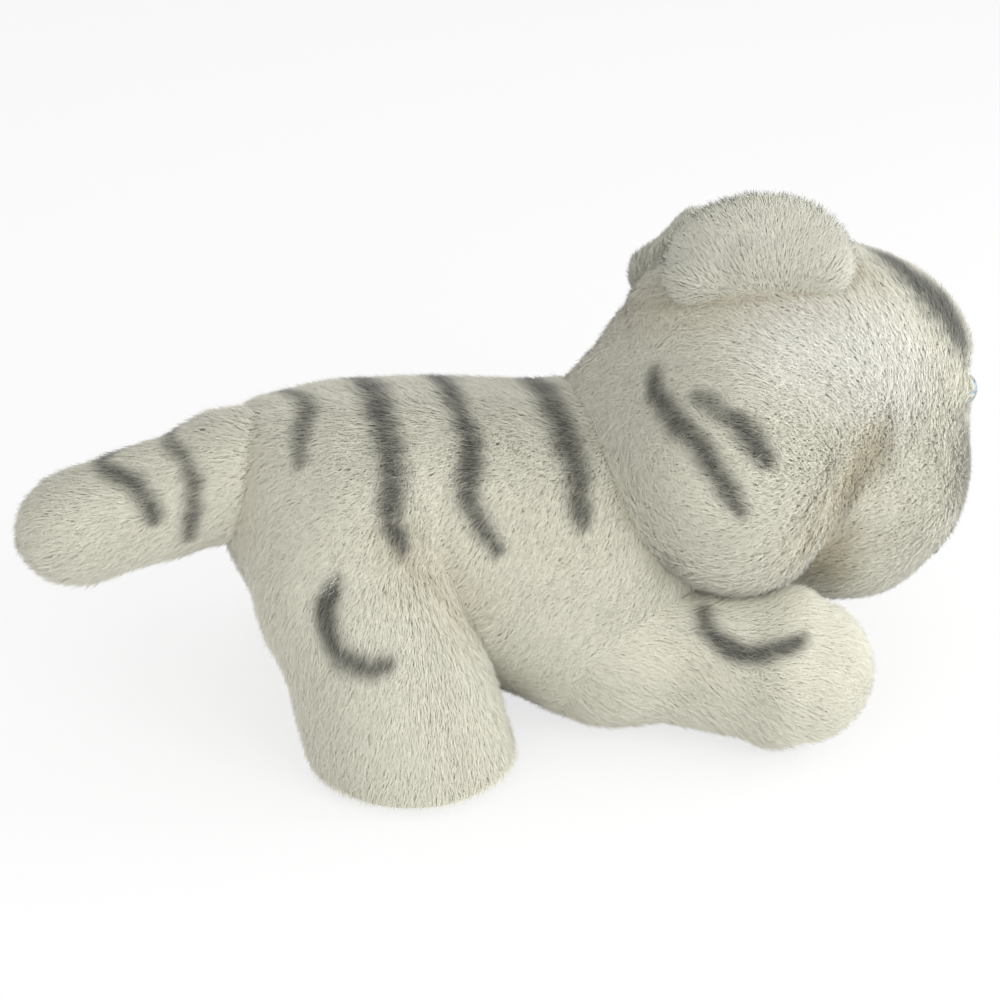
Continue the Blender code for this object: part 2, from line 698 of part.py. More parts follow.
def make_front_leg(side, label):
    shoulder = Vector((SHOULDER_X, side * SHOULDER_Y, SHOULDER_Z))
    pivot = new_empty("shoulder_pivot_" + label, ROOT, Matrix.Translation(shoulder))
    ball = turned_ball_mesh("shoulder_" + label, SHOULDER_RADIUS, SHOULDER_RADIUS, AXIS_Z, SHOULDER_FACETS)
    leg = new_object("front_leg_" + label, ball, pivot, fur("front_leg_" + label))
    paw = Vector((PAW_X, side * PAW_Y, FRONT_LEG_RADIUS - FLOOR_CUT)) - shoulder
    reach = paw + Vector((paw.x, paw.y, 0.0)).normalized() * FRONT_LEG_RADIUS
    across = AXIS_Z.cross(paw).normalized() * FRONT_LEG_RADIUS
    rise = paw.cross(across).normalized() * FRONT_LEG_RADIUS
    ring_shares = ((0.12, 0.86), (0.34, 0.98), (0.64, 1.00), (0.88, 1.02))
    rings = [(paw * along, across * size, rise * size) for along, size in ring_shares]
    end_along, end_size = PAW_END_SHARES
    rings.append((paw.lerp(reach, end_along), across * end_size, rise * end_size))
    tube_mesh = ring_mesh("front_leg_tube", Vector(), rings, reach, LIMB_SEGMENTS)
    tube = new_object("front_leg_tube_" + label, tube_mesh, pivot)
    subdivide(tube)
    boolean(leg, tube, "UNION")
    boolean(leg, FLOOR)
    boolean(leg, CHEEK_CUTTER)
    seat_radius = SHOULDER_RADIUS + SEAM_GAP
    seat = new_object(
        "shoulder_seat_" + label,
        turned_ball_mesh("shoulder_seat", seat_radius, seat_radius, AXIS_Z, SHOULDER_FACETS), pivot)
    spread = (0.0, side * FRONT_LEG_SPREAD_DEG / 2.0, side * FRONT_LEG_SPREAD_DEG)
    sweep = swept_hull("front_leg_sweep_" + label, tube_mesh, "Z", spread, pivot)
    return [seat, sweep]


def sole_mesh(name, gap):
    """A flat oval pad with a soft edge, standing on its frame's origin."""
    bm = bmesh.new()
    bmesh.ops.create_cone(
        bm, cap_ends=True, segments=SOLE_FACETS, radius1=1.0, radius2=1.0, depth=SOLE_THICKNESS + gap)
    half_length = FOOT_LENGTH / 2.0 - SOLE_INSET + gap
    half_width = FOOT_WIDTH / 2.0 - SOLE_INSET + gap
    size = Matrix.Diagonal((half_length, half_width, 1.0, 1.0))
    lift = Matrix.Translation((0.0, 0.0, (SOLE_THICKNESS + gap) / 2.0))
    bmesh.ops.transform(bm, matrix=lift @ size, verts=bm.verts)
    return mesh_from(bm, name, smooth=False)


def make_hind_leg(side, label):
    hip = Vector((HIP_X, side * HIP_Y, HIP_Z))
    pivot = new_empty("hip_pivot_" + label, ROOT, Matrix.Translation(hip))
    haunch = turned_ball_mesh("haunch_" + label, HAUNCH_RADIUS, HAUNCH_HALF_WIDTH, AXIS_Y, HAUNCH_FACETS)
    leg = new_object("hind_leg_" + label, haunch, pivot, fur("hind_leg_" + label))
    foot = Vector((FOOT_X, side * FOOT_Y, 0.0)) - hip
    down = AXIS_Z * FOOT_HEIGHT
    lean = Vector((HIP_X - FOOT_X, side * (HIP_Y - FOOT_Y), 0.0))
    along = AXIS_X * FOOT_LENGTH / 2.0
    across = AXIS_Y * FOOT_WIDTH / 2.0
    ring_shares = ((0.00, 0.88), (0.10, 1.00), (0.40, 1.00), (0.74, 0.96), (1.00, 0.82))
    low = foot - AXIS_Z * FLOOR_CUT
    rings = [(low + down * up + lean * up, along * size, across * size) for up, size in ring_shares]
    top = foot + (down + lean) * FOOT_TOP_SHARE
    foot_mesh = ring_mesh("foot", low, rings, top, LIMB_SEGMENTS)
    foot_form = new_object("foot_form_" + label, foot_mesh, pivot)
    subdivide(foot_form)
    boolean(leg, foot_form, "UNION")
    boolean(leg, FLOOR)
    sole_place = Matrix.Translation(foot)
    sole = new_object("hind_sole_" + label, sole_mesh("hind_sole", 0.0), pivot, fur("hind_sole_" + label))
    sole.matrix_local = sole_place
    recess = new_object("sole_recess_" + label, sole_mesh("sole_recess", FIT_GAP), pivot)
    recess.matrix_local = sole_place
    boolean(leg, recess)
    seat = new_object(
        "hip_seat_" + label,
        turned_ball_mesh(
            "hip_seat", HAUNCH_RADIUS + SEAM_GAP, HAUNCH_HALF_WIDTH + SEAM_GAP, AXIS_Y, HAUNCH_FACETS), pivot)
    swing = (0.0, HIND_LEG_SWING_DEG / 2.0, HIND_LEG_SWING_DEG)
    sweep = swept_hull("hind_leg_sweep_" + label, foot_mesh, "Y", swing, pivot)
    return [seat, sweep]


def centre_on_floor():
    """Moves the whole toy so that the middle of its box, on the floor, is the origin."""
    bpy.context.view_layer.update()
    depsgraph = bpy.context.evaluated_depsgraph_get()
    corners = []
    for obj in PARTS.objects:
        if obj.type == "MESH":
            solid = obj.evaluated_get(depsgraph)
            corners += [solid.matrix_world @ vertex.co for vertex in solid.data.vertices]
    low = [min(corner[axis] for corner in corners) for axis in range(3)]
    high = [max(corner[axis] for corner in corners) for axis in range(3)]
    ROOT.location = (-(low[0] + high[0]) / 2.0, -(low[1] + high[1]) / 2.0, -low[2])


SKULL_CUTTER = new_object("skull_cutter", head_mesh("skull_cutter", FIT_GAP), NECK)
CHEEK_CUTTER = new_object(
    "cheek_cutter", head_mesh("cheek_cutter", LEG_HEAD_GAP, (0.0, *HEAD_ROOM_DEG)), NECK)
HEAD = new_object("head", head_mesh("head", 0.0), NECK, fur("head"))
cut_together(HEAD, make_nose(make_muzzle()) + make_eyes() + make_ears())
BODY, BODY_CUTTERS = make_body()
BODY_CUTTERS.append(make_tail())
for leg_side, leg_label in ((1.0, "left"), (-1.0, "right")):
    BODY_CUTTERS += make_front_leg(leg_side, leg_label)
    BODY_CUTTERS += make_hind_leg(leg_side, leg_label)
cut_together(BODY, BODY_CUTTERS)
centre_on_floor()
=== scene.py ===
import json
import math

import bpy
import numpy as np
from mathutils import Matrix, Vector
from mathutils.bvhtree import BVHTree


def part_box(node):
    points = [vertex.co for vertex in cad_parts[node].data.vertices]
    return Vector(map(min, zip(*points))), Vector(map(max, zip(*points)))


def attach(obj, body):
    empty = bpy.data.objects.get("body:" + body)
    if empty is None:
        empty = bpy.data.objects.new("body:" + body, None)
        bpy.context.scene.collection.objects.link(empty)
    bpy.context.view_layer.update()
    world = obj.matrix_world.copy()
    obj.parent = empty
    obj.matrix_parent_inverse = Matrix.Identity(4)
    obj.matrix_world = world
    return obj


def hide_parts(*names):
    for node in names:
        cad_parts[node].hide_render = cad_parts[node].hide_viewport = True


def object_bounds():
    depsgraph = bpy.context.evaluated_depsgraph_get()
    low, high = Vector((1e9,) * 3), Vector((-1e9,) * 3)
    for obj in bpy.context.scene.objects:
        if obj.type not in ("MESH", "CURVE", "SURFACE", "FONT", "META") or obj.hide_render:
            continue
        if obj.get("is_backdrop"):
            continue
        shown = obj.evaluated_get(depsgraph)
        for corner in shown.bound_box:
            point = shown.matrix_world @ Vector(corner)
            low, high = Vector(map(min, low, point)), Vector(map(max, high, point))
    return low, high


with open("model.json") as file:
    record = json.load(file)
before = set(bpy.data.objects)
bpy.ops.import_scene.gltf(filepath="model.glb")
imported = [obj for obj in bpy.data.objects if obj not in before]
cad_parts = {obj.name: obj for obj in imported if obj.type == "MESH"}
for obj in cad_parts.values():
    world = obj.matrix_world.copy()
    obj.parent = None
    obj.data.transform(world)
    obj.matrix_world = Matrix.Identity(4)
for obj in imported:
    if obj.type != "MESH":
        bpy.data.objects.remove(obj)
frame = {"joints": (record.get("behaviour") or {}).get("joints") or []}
CAD_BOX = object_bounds()
JOINTS = {row["name"]: row for row in frame["joints"]}
SIDES = (("left", 1.0), ("right", -1.0))
MIRROR = np.array((1.0, -1.0, 1.0))
UP = np.array((0.0, 0.0, 1.0))

# Camera, as found from the photograph's outline
IMAGE_SIZE = 1000
CAMERA_AZIMUTH_DEG = -14.0
CAMERA_RISE_DEG = 25.0
CAMERA_DISTANCE = 0.95
CAMERA_LENS_MM = 84.4
CAMERA_SENSOR_MM = 36.0
CAMERA_TARGET = Vector((-0.0089, 0.0, 0.082))

# Pile: how far its tips stand off the cloth, and the strands themselves
PILE_DEPTH = 0.0050
EAR_PILE_DEPTH = 0.0040
PILE_LENGTH = 0.0088
STRAND_WIDTH = 0.00032
STRANDS_PER_MM2 = 3.2
PIECE_STRANDS = 60000
PILE_LEAN_DEG = 60.0
CELL = 0.0028
STRAND_LENGTHS = (0.74, 1.10)
STRAND_MIDDLE = 0.45
STRAND_BEND = (0.75, 1.2)
STRAND_ROUNDNESS = (0.35, 0.15)
STRAND_SHADE_SPREAD = 0.035
DRIFT_SPREAD = 0.26
CALM_SHARE = 0.6
LEAN_SPREAD_DEG = 5.0
FLOOR_CLEARANCE = 0.0004
HIDDEN_DEPTH = 0.0008
SHORTEST_SHARE = 0.1
FLOOR_LENGTH_SHARE = 0.60
FLOOR_REACH = (0.003, 0.012)
CREASE_SHORTENING = 0.50
PLAIN_DEPTH = 0.0
PLAIN_CELL = 0.0045
SKIN_MARGIN = 0.016
EAR_CELL = 0.0018
LINING_CELL = 0.0016
LINING_DEPTH = 0.0016

# Noise, each with its feature size in metres, its seed and how strong it is
DRIFTS = ((0.0140, 21, 0.26), (0.0050, 31, 0.12))
LEAN_NOISE = (0.010, 41, 5.0)
EDGE_NOISES = ((0.0060, 11, 0.32), (0.0020, 12, 0.30))
LIGHT_NOISE = (0.030, 51, 0.025)
WARM_NOISE = (0.045, 61, 0.22)

# A strand's vertices are its root, three around its middle, and its tip. These are its faces.
STRAND_CORNERS = ((0, 1, 2), (0, 2, 3), (0, 3, 1), (2, 1, 4), (3, 2, 4), (1, 3, 4))


def joint(name, key="pos_m"):
    return np.array(JOINTS[name][key])


# Places taken from the frame's joints
NECK = joint("head_turn")
TAIL_ROOT = joint("tail_swing")
SHOULDER = {label: joint(f"front_leg_{label}_spread") for label, _ in SIDES}
HIP = {label: joint(f"hind_leg_{label}_swing") for label, _ in SIDES}
EAR_ROOT = {label: joint(f"ear_{label}_fold") for label, _ in SIDES}
EAR_AXIS = {label: joint(f"ear_{label}_fold", "axis") for label, _ in SIDES}

# Trunk: place along from tail to neck, centre height, half width and half height. The first is a
# share of the way from the tail's joint to the neck's, the others of the body's height and width.
BODY_LOW, BODY_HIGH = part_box("body")
TRUNK_HEIGHT = BODY_HIGH.z
TRUNK_WIDTH = BODY_HIGH.y - BODY_LOW.y
TRUNK_SHARES = (
    (-0.038, 0.700, 0.000, 0.000),
    (0.006, 0.695, 0.262, 0.235),
    (0.118, 0.655, 0.398, 0.330),
    (0.313, 0.575, 0.466, 0.415),
    (0.420, 0.520, 0.492, 0.452),
    (0.528, 0.490, 0.505, 0.457),
    (0.732, 0.461, 0.492, 0.462),
    (0.878, 0.480, 0.372, 0.405),
    (0.950, 0.468, 0.000, 0.000),
)
TRUNK_BOXY_POWER = 2.3
SHOULDER_RADIUS = 0.0320
HAUNCH_RADIUS = 0.0408
HAUNCH_HALF_WIDTH = 0.0300
FILLET_DEPTH = 0.0020
FILLET_BLEND = 0.0280
CREASE_BLEND = 0.0060

# Hind feet: a soft column on an oval sole
SOLE_HALF_LENGTH = 0.0340
SOLE_HALF_WIDTH = 0.0310
SOLE_THICKNESS = 0.0040
SOLE_CELL = 0.0012
SOLE_CLEARANCE = 0.0002
SOLE_POWER = 6
FOOT_HALF_LENGTH = 0.0405
FOOT_HALF_WIDTH = 0.0390
FOOT_HEIGHT = 0.0760
FOOT_SHARES = (
    (-0.300, 0.0, 1.00, 1.00),
    (0.000, 0.0, 1.00, 1.00),
    (0.400, 0.0, 0.99, 0.99),
    (0.740, 0.0, 0.92, 0.92),
    (1.000, 0.0, 0.74, 0.74),
    (1.150, 0.0, 0.00, 0.00),
)
FOOT_EDGE_BLEND = 0.0055
THIGH_BLEND = 0.0100

# Front legs
PAW_REACH = Vector((0.0700, 0.0330, -0.0070))
PAW_RADIUS = 0.0282
FRONT_LEG_SHARES = (
    (-0.30, 0.00, 0.00, 0.00),
    (0.00, 0.00, 0.90, 0.90),
    (0.40, 0.06, 0.99, 1.03),
    (0.75, 0.11, 1.02, 1.09),
    (1.00, 0.14, 0.96, 1.02),
    (1.12, 0.14, 0.00, 0.00),
)
PAW_SHARES = (1.10, 1.06, 1.08)
PAW_RISE = 0.0040
PAW_BLEND = 0.0100
SHOULDER_BLEND = 0.0140

# Tail
TAIL_REACH = Vector((-0.0830, 0.0, -0.0215))
TAIL_RADIUS = 0.0232
TAIL_ROOT_RADIUS = 0.0262
TAIL_BLEND = 0.0100
TAIL_SHARES = (
    (-0.20, 0.0, 0.00, 0.00),
    (0.05, 0.0, 1.00, 1.00),
    (0.30, 0.0, 1.05, 1.05),
    (0.60, 0.0, 1.02, 1.02),
    (0.84, 0.0, 0.96, 0.96),
    (0.95, 0.0, 0.72, 0.72),
    (1.02, 0.0, 0.00, 0.00),
)

# Head, in its own turned and tilted frame: X forward, Y to its left, Z up
HEAD_TURN_DEG = 15.0
HEAD_NOD_DEG = 12.0
HEAD_TILT_DEG = 18.0
SKULL_RADIUS = 0.0680
BROW_PLACE = (0.0530, 0.0, 0.0130)
BROW_RADII = (0.0460, 0.0480, 0.0440)
CHEEK_PLACE = (-0.0360, 0.0360, -0.0330)
CHEEK_RADII = (0.0450, 0.0370, 0.0480)
NAPE_PLACE = (-0.0380, 0.0, -0.0280)
NAPE_RADII = (0.0460, 0.0500, 0.0400)
BRIDGE_TOP = (0.0810, 0.0, -0.0060)
BRIDGE_FOOT = (0.0810, 0.0, -0.0280)
BRIDGE_RADIUS = 0.0210
BROW_BLEND = 0.0300
CHEEK_BLEND = 0.0200
MUZZLE_PLACE = (0.0460, 0.0, -0.0400)
MUZZLE_RADII = (0.0460, 0.0540, 0.0420)
CHIN_PLACE = (0.0430, 0.0, -0.0670)
CHIN_RADII = (0.0280, 0.0270, 0.0180)
CHIN_BLEND = 0.0180
LID_RADIUS = 0.0086
LID_SINK = 0.0034
LID_BACK = 0.0120
LID_BLEND = 0.0080
NOSE_BED_FORWARD = 0.0220
NOSE_BED_RADII = (0.0150, 0.0190, 0.0150)
NOSE_BED_BLEND = 0.0080
EYE_BARE = (0.0105, 0.0150)
NOSE_BARE = (0.0095, 0.0160)
MUZZLE_BLEND = 0.0240
FACE_BLEND = 0.0060
FACE_BLEND_REACH = (0.0320, 0.0700)

# Ears: X along the root, Y towards the open face, Z up the flap
EAR_LEAN_DEG = {"left": 66.0, "right": 38.0}
EAR_SHIFT = {"left": -0.010, "right": -0.009}
EAR_ROLL_DEG = {"left": 0.0, "right": 12.0}
EAR_HALF_WIDTH = 0.0360
EAR_HEIGHT = 0.0315
EAR_HALF_THICKNESS = 0.0090
EAR_CUP_DEPTH = 0.0120
EAR_ROOT_RADIUS = 0.0100
EAR_ROOT_HALF = 0.0240
EAR_BLEND = 0.0120
EAR_PILE_SHARE = 0.78
LINING_PILE_SHARE = 0.45
LINING_MARGIN = 0.0085

# Colours
CREAM = np.array((0.83, 0.812, 0.675))
# Painted shade: the cloth under the pile, darker than the pile's cream
SHADED_CLOTH = np.array((0.77, 0.752, 0.615))
STRIPE = np.array((0.075, 0.075, 0.068))
# Painted shade: the ears' backs in a darker copy of the pile's cream
EAR_BACK_SHADED = np.array((0.72, 0.712, 0.605))
# Painted highlight: the near-white laid on the brow
HIGHLIGHT_WHITE = np.array((0.95, 0.94, 0.86))
WARMTH = np.array((1.0, 0.965, 0.87))
# Painted shade at the strands' roots, which the cloth takes at a share
ROOT_SHADE = 0.06
CLOTH_ROOT_SHARE = 0.8
# Painted shade: the darker, browner colour laid along each crease
CREASE_SHADE = np.array((0.50, 0.425, 0.270))
LINING = np.array((0.83, 0.78, 0.65))
SOLE = np.array((0.74, 0.73, 0.62))
THREAD = np.array((0.10, 0.09, 0.08))

# Stripes by side: points on the photograph, half width in metres and darkness. A point on the
# photograph is cast onto the form that shows there.
BODY_STRIPES_PX = (
    (((328, 388), (308, 408), (299, 435), (298, 463)), 0.0035, 0.80),
    (((375, 388), (385, 429), (394, 477), (391, 519), (404, 550)), 0.0052, 0.95),
    (((453, 390), (471, 436), (473, 461), (465, 483), (477, 519), (497, 552)), 0.0043, 1.0),
    (((544, 388), (567, 432), (579, 468), (579, 499), (586, 523)), 0.0052, 0.92),
)
TAIL_STRIPES_PX = (
    (((98, 462), (114, 471), (134, 482), (147, 500), (154, 522)), 0.0036, 0.95),
    (((165, 437), (183, 457), (192, 482), (192, 509), (190, 542)), 0.0030, 0.95),
)
HIND_STRIPES_PX = (
    (((337, 579), (324, 605), (326, 633), (340, 659), (366, 670), (391, 665)), 0.0042, 1.0),
)
FRONT_STRIPES_PX = (
    (((703, 605), (708, 631), (731, 651), (760, 654), (786, 646), (803, 637)), 0.0042, 1.0),
)
HEAD_STRIPES_PX = (
    (((892, 254), (926, 280), (950, 306), (966, 336)), 0.0135, 0.98),
    (((649, 367), (652, 392), (678, 424), (700, 443), (716, 472), (743, 514)), 0.0042, 0.95),
    (((693, 392), (712, 404), (729, 421)), 0.0042, 0.75),
    (((735, 415), (754, 440), (770, 463)), 0.0046, 1.0),
)
# Creases: points on the photograph. Each kind has the depth and reach of its groove, in metres. Shade is
# painted into the pile's colour along them.
CHEEK_CREASE_PX = ((869, 447), (850, 480), (831, 510), (808, 558))
EAR_CREASE_PX = ((646, 303), (729, 299), (824, 288), (869, 270))
EAR_PLEAT_PX = ((764, 230), (738, 236), (725, 262), (724, 283), (735, 294))
THIGH_CREASE_PX = ((385, 663), (420, 668), (456, 668))
HAUNCH_CREASE_PX = ((398, 552), (426, 572), (450, 596), (465, 620))
TAIL_CREASE_PX = ((219, 439), (221, 497), (234, 522))
SPINE_SEAM_PX = ((340, 392), (450, 396), (560, 394))
# Painted shadow on the muzzle's side, beside the cheek's crease
CHEEK_SHADE_PX = ((880, 452), (856, 498), (838, 538), (822, 572))
# Painted highlight on the brow
BROW_HIGHLIGHT_PX = ((806, 330), (850, 340), (895, 372))
# Painted shade along each crease line, as a half width in metres and a strength: a strong core, a weak halo,
# and the painted shadow beside the cheek
CREASE_SHADE_CORE = (0.0032, 0.60)
CREASE_SHADE_HALO = (0.0130, 0.30)
CHEEK_SHADE = (0.0120, 0.80)
# Painted highlight on the brow: half width in metres and strength
BROW_HIGHLIGHT = (0.0260, 0.75)
CHEEK_GROOVE = (0.0030, 0.0080)
SEAM_GROOVE = (0.0022, 0.0045)
FINE_GROOVE = (0.0012, 0.0030)
SPINE_MARGIN = 0.0060
SKY_REACH = 0.1

# Stripe on the forehead: directions from the neck's joint, in the head's frame
FOREHEAD_STRIPE = ((0.080, 0.000, 0.032), (0.062, 0.000, 0.050), (0.038, 0.000, 0.062))
FOREHEAD_STRIPE_SIZE = (0.0105, 0.90)
BACK_STRIPE_MARGIN = 0.0350

# Mouth: a line of stitches under the nose that parts to both sides, as such directions
MOUTH_FORK = (0.0820, 0.0, -0.0650)
MOUTH_SIDE = ((0.0800, 0.0080, -0.0690), (0.0760, 0.0160, -0.0670), (0.0740, 0.0210, -0.0610))
MOUTH_LINES = (
    ((0.0900, 0.0, -0.0480), (0.0870, 0.0, -0.0580), MOUTH_FORK),
    (MOUTH_FORK, *MOUTH_SIDE),
    (MOUTH_FORK, *((x, -y, z) for x, y, z in MOUTH_SIDE)),
)
STITCH_LENGTH = 0.0042
STITCH_RADIUS = 0.0007
STITCH_LIFT = 0.0004
STITCH_SIDES = 8
STITCH_SHARES = ((0.10, 0.55), (0.30, 0.90), (0.50, 1.00), (0.70, 0.90), (0.90, 0.55))

# Eyes and nose. The colours run from the eye's middle to its rim.
EYE_RADIUS = 0.00725
EYE_DOME_HEIGHT = 0.0062
EYE_SKIRT = 0.0012
EYE_RINGS = 14
EYE_SIDES = 64
EYE_COLOURS = (
    (0.00, (0.006, 0.006, 0.007)),
    (0.42, (0.006, 0.006, 0.007)),
    (0.48, (0.080, 0.260, 0.420)),
    (0.78, (0.110, 0.330, 0.520)),
    (0.88, (0.010, 0.014, 0.020)),
    (0.99, (0.006, 0.006, 0.007)),
)
NOSE_SWELL = 0.0006
NOSE_PAD_DEPTH = 0.0095
NOSE_TAPER = 0.28
NOSE_POWER = 2.4
NOSE_CELL = 0.0009
NOSE_COLOUR = (0.420, 0.210, 0.190)
WASHER_COLOUR = (0.70, 0.70, 0.68)

# Studio: each lamp's place, size and power
LAMPS = {
    "key": ((0.60, -1.25, 0.72), 0.9, 11.0),
    "fill": ((-0.70, -1.20, 0.45), 1.2, 5.5),
    "side": ((1.30, -0.10, 0.70), 0.9, 7.0),
}
WORLD_LIGHT = 0.72
FLOOR_HALF = 6.0
FLOOR_GLOW = 0.75


# Arithmetic on rows of points

def unit(vectors):
    return vectors / np.maximum(np.linalg.norm(vectors, axis=-1, keepdims=True), 1e-12)


def smooth_step(low, high, values):
    t = np.clip((values - low) / (high - low), 0.0, 1.0)
    return t * t * (3.0 - 2.0 * t)


def lattice(cells, seed):
    """A random number from 0 to 1 for each whole-number place."""
    whole = (cells[..., 0] * 73856093) ^ (cells[..., 1] * 19349663) ^ (cells[..., 2] * 83492791) ^ seed
    whole = (whole ^ (whole >> 13)) * 1274126177
    return ((whole ^ (whole >> 16)) & 0xFFFF) / 65535.0


def noise(points, size, seed):
    """Smooth noise from -1 to 1 with features of the given size."""
    scaled = points / size
    base = np.floor(scaled).astype(np.int64)
    part = scaled - base
    part = part * part * (3.0 - 2.0 * part)
    total = np.zeros(len(points))
    for corner in np.ndindex(2, 2, 2):
        weight = np.prod(np.where(corner, part, 1.0 - part), axis=1)
        total += weight * lattice(base + np.array(corner), seed)
    return total * 2.0 - 1.0


def noises(points, rows):
    """The sum of several noises, each with a size, a seed and a strength."""
    return sum(noise(points, size, seed) * strength for size, seed, strength in rows)


def noise_vectors(points, rows):
    return np.stack([
        noises(points, [(size, seed + axis * 101, strength) for size, seed, strength in rows])
        for axis in range(3)], axis=1)


def mixed(first, second, share):
    return first * (1.0 - share) + second * share


def smooth_union(blend, *values):
    total = values[0]
    for value in values[1:]:
        share = np.clip(0.5 + 0.5 * (value - total) / blend, 0.0, 1.0)
        total = mixed(value, total, share) - blend * share * (1.0 - share)
    return total


def smooth_cut(blend, form, cut):
    """What both forms share, with a rounded edge."""
    return -smooth_union(blend, -form, -cut)


# Forms: each gives about how far points are outside it

def ellipsoid(points, centre, radii):
    radii = np.array(radii)
    local = points - np.array(centre)
    near = np.linalg.norm(local / radii, axis=1)
    return near * (near - 1.0) / np.maximum(np.linalg.norm(local / radii ** 2, axis=1), 1e-9)


def capsule(points, start, end, radius):
    start = np.array(start)
    line = np.array(end) - start
    along = np.clip((points - start) @ line / (line @ line), 0.0, 1.0)
    return np.linalg.norm(points - start - along[:, None] * line, axis=1) - radius


def curve_through(places, values, at):
    """A smooth curve through values, by cubic pieces whose slopes are the mean of their neighbours'."""
    slopes = np.gradient(values, places)
    index = np.clip(np.searchsorted(places, at) - 1, 0, len(places) - 2)
    width = places[index + 1] - places[index]
    t = (at - places[index]) / width
    first, second = values[index], values[index + 1]
    rise_a, rise_b = slopes[index] * width, slopes[index + 1] * width
    return (
        first * (2 * t ** 3 - 3 * t ** 2 + 1) + second * (3 * t ** 2 - 2 * t ** 3)
        + rise_a * (t ** 3 - 2 * t ** 2 + t) + rise_b * (t ** 3 - t ** 2))


def loft(points, start, reach, rise, table, power=2.0):
    """A soft form along reach, with fuller corners for a greater power.

    Each row of the table has a share of reach, an offset along rise, and the half sizes across and
    along rise.
    """
    reach = np.array(reach, float)
    length = np.linalg.norm(reach)
    ahead = reach / length
    rise = unit(np.array(rise, float) - ahead * (np.array(rise, float) @ ahead))
    side = np.cross(rise, ahead)
    table = np.array(table, float)
    local = points - np.array(start)
    along = local @ ahead / length
    held = np.clip(along, table[0, 0], table[-1, 0])
    offset = curve_through(table[:, 0], table[:, 1], held)
    wide = np.sqrt(np.maximum(curve_through(table[:, 0], table[:, 2] ** 2, held), 1e-8))
    tall = np.sqrt(np.maximum(curve_through(table[:, 0], table[:, 3] ** 2, held), 1e-8))
    across, up = np.abs(local @ side / wide), np.abs((local @ rise - offset) / tall)
    radial = (across ** power + up ** power) ** (1.0 / power)
    around = (radial - 1.0) * np.sqrt(wide * tall)
    beyond = np.abs(along - held) * length
    return np.hypot(np.maximum(around, 0.0), beyond) + np.minimum(around, 0.0)


def sized(shares, across, tall, up=0.0):
    return [(along, offset * up, wide * across, high * tall) for along, offset, wide, high in shares]


HEAD_POSE = np.array((
    Matrix.Rotation(math.radians(HEAD_TURN_DEG), 3, "Z")
    @ Matrix.Rotation(math.radians(HEAD_NOD_DEG), 3, "Y")
    @ Matrix.Rotation(-math.radians(HEAD_TILT_DEG), 3, "X")))


def to_head(points):
    return (points - NECK) @ HEAD_POSE


def from_head(points):
    return np.array(points) @ HEAD_POSE.T + NECK


def trunk_form(points):
    base = np.array((TAIL_ROOT[0], 0.0, 0.0))
    reach = np.array((NECK[0] - TAIL_ROOT[0], 0.0, 0.0))
    table = [
        (along, high * TRUNK_HEIGHT, wide * TRUNK_WIDTH, tall * TRUNK_HEIGHT)
        for along, high, wide, tall in TRUNK_SHARES]
    return loft(points, base, reach, UP, table, TRUNK_BOXY_POWER)


def haunch_form(points, label):
    return ellipsoid(points, HIP[label], (HAUNCH_RADIUS, HAUNCH_HALF_WIDTH, HAUNCH_RADIUS))


def sole_centre(label):
    low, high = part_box("hind_sole_" + label)
    return np.array(((low.x + high.x) / 2.0, (low.y + high.y) / 2.0, 0.0))


def foot_form(points, label):
    foot = sole_centre(label)
    top = np.array((HIP[label][0], HIP[label][1], FOOT_HEIGHT))
    table = sized(FOOT_SHARES, FOOT_HALF_LENGTH, FOOT_HALF_WIDTH)
    return loft(points, foot, top - foot, (0.0, 1.0, 0.0), table)


def hind_leg_form(points, label):
    leg = smooth_union(THIGH_BLEND, haunch_form(points, label), foot_form(points, label))
    return smooth_cut(FOOT_EDGE_BLEND, leg, -points[:, 2])


def front_leg_form(points, label):
    side = 1.0 if label == "left" else -1.0
    reach = np.array((PAW_REACH.x, PAW_REACH.y * side, PAW_REACH.z))
    table = sized(FRONT_LEG_SHARES, PAW_RADIUS, PAW_RADIUS, PAW_RADIUS)
    leg = loft(points, SHOULDER[label], reach, UP, table)
    paw_centre = SHOULDER[label] + reach + PAW_RISE * UP
    leg = smooth_union(PAW_BLEND, leg, ellipsoid(points, paw_centre, PAW_RADIUS * np.array(PAW_SHARES)))
    return smooth_union(SHOULDER_BLEND, ellipsoid(points, SHOULDER[label], (SHOULDER_RADIUS,) * 3), leg)


def body_form(points):
    """The trunk, softly joined to the haunches' and shoulders' places; in front of a haunch is a crease."""
    form = trunk_form(points)
    for label, _ in SIDES:
        from_hip = points - HIP[label]
        ahead = smooth_step(-0.3, 0.7, (from_hip[:, 0] * 0.9 - from_hip[:, 2] * 0.6) / HAUNCH_RADIUS)
        blend = mixed(FILLET_BLEND, CREASE_BLEND, ahead)
        form = smooth_union(blend, form, haunch_form(points, label) + FILLET_DEPTH)
        shoulder = ellipsoid(points, SHOULDER[label], (SHOULDER_RADIUS - FILLET_DEPTH,) * 3)
        form = smooth_union(FILLET_BLEND, form, shoulder)
    return form


def tail_form(points):
    tube = loft(points, TAIL_ROOT, TAIL_REACH, UP, sized(TAIL_SHARES, TAIL_RADIUS, TAIL_RADIUS))
    return smooth_union(TAIL_BLEND, ellipsoid(points, TAIL_ROOT, (TAIL_ROOT_RADIUS,) * 3), tube)


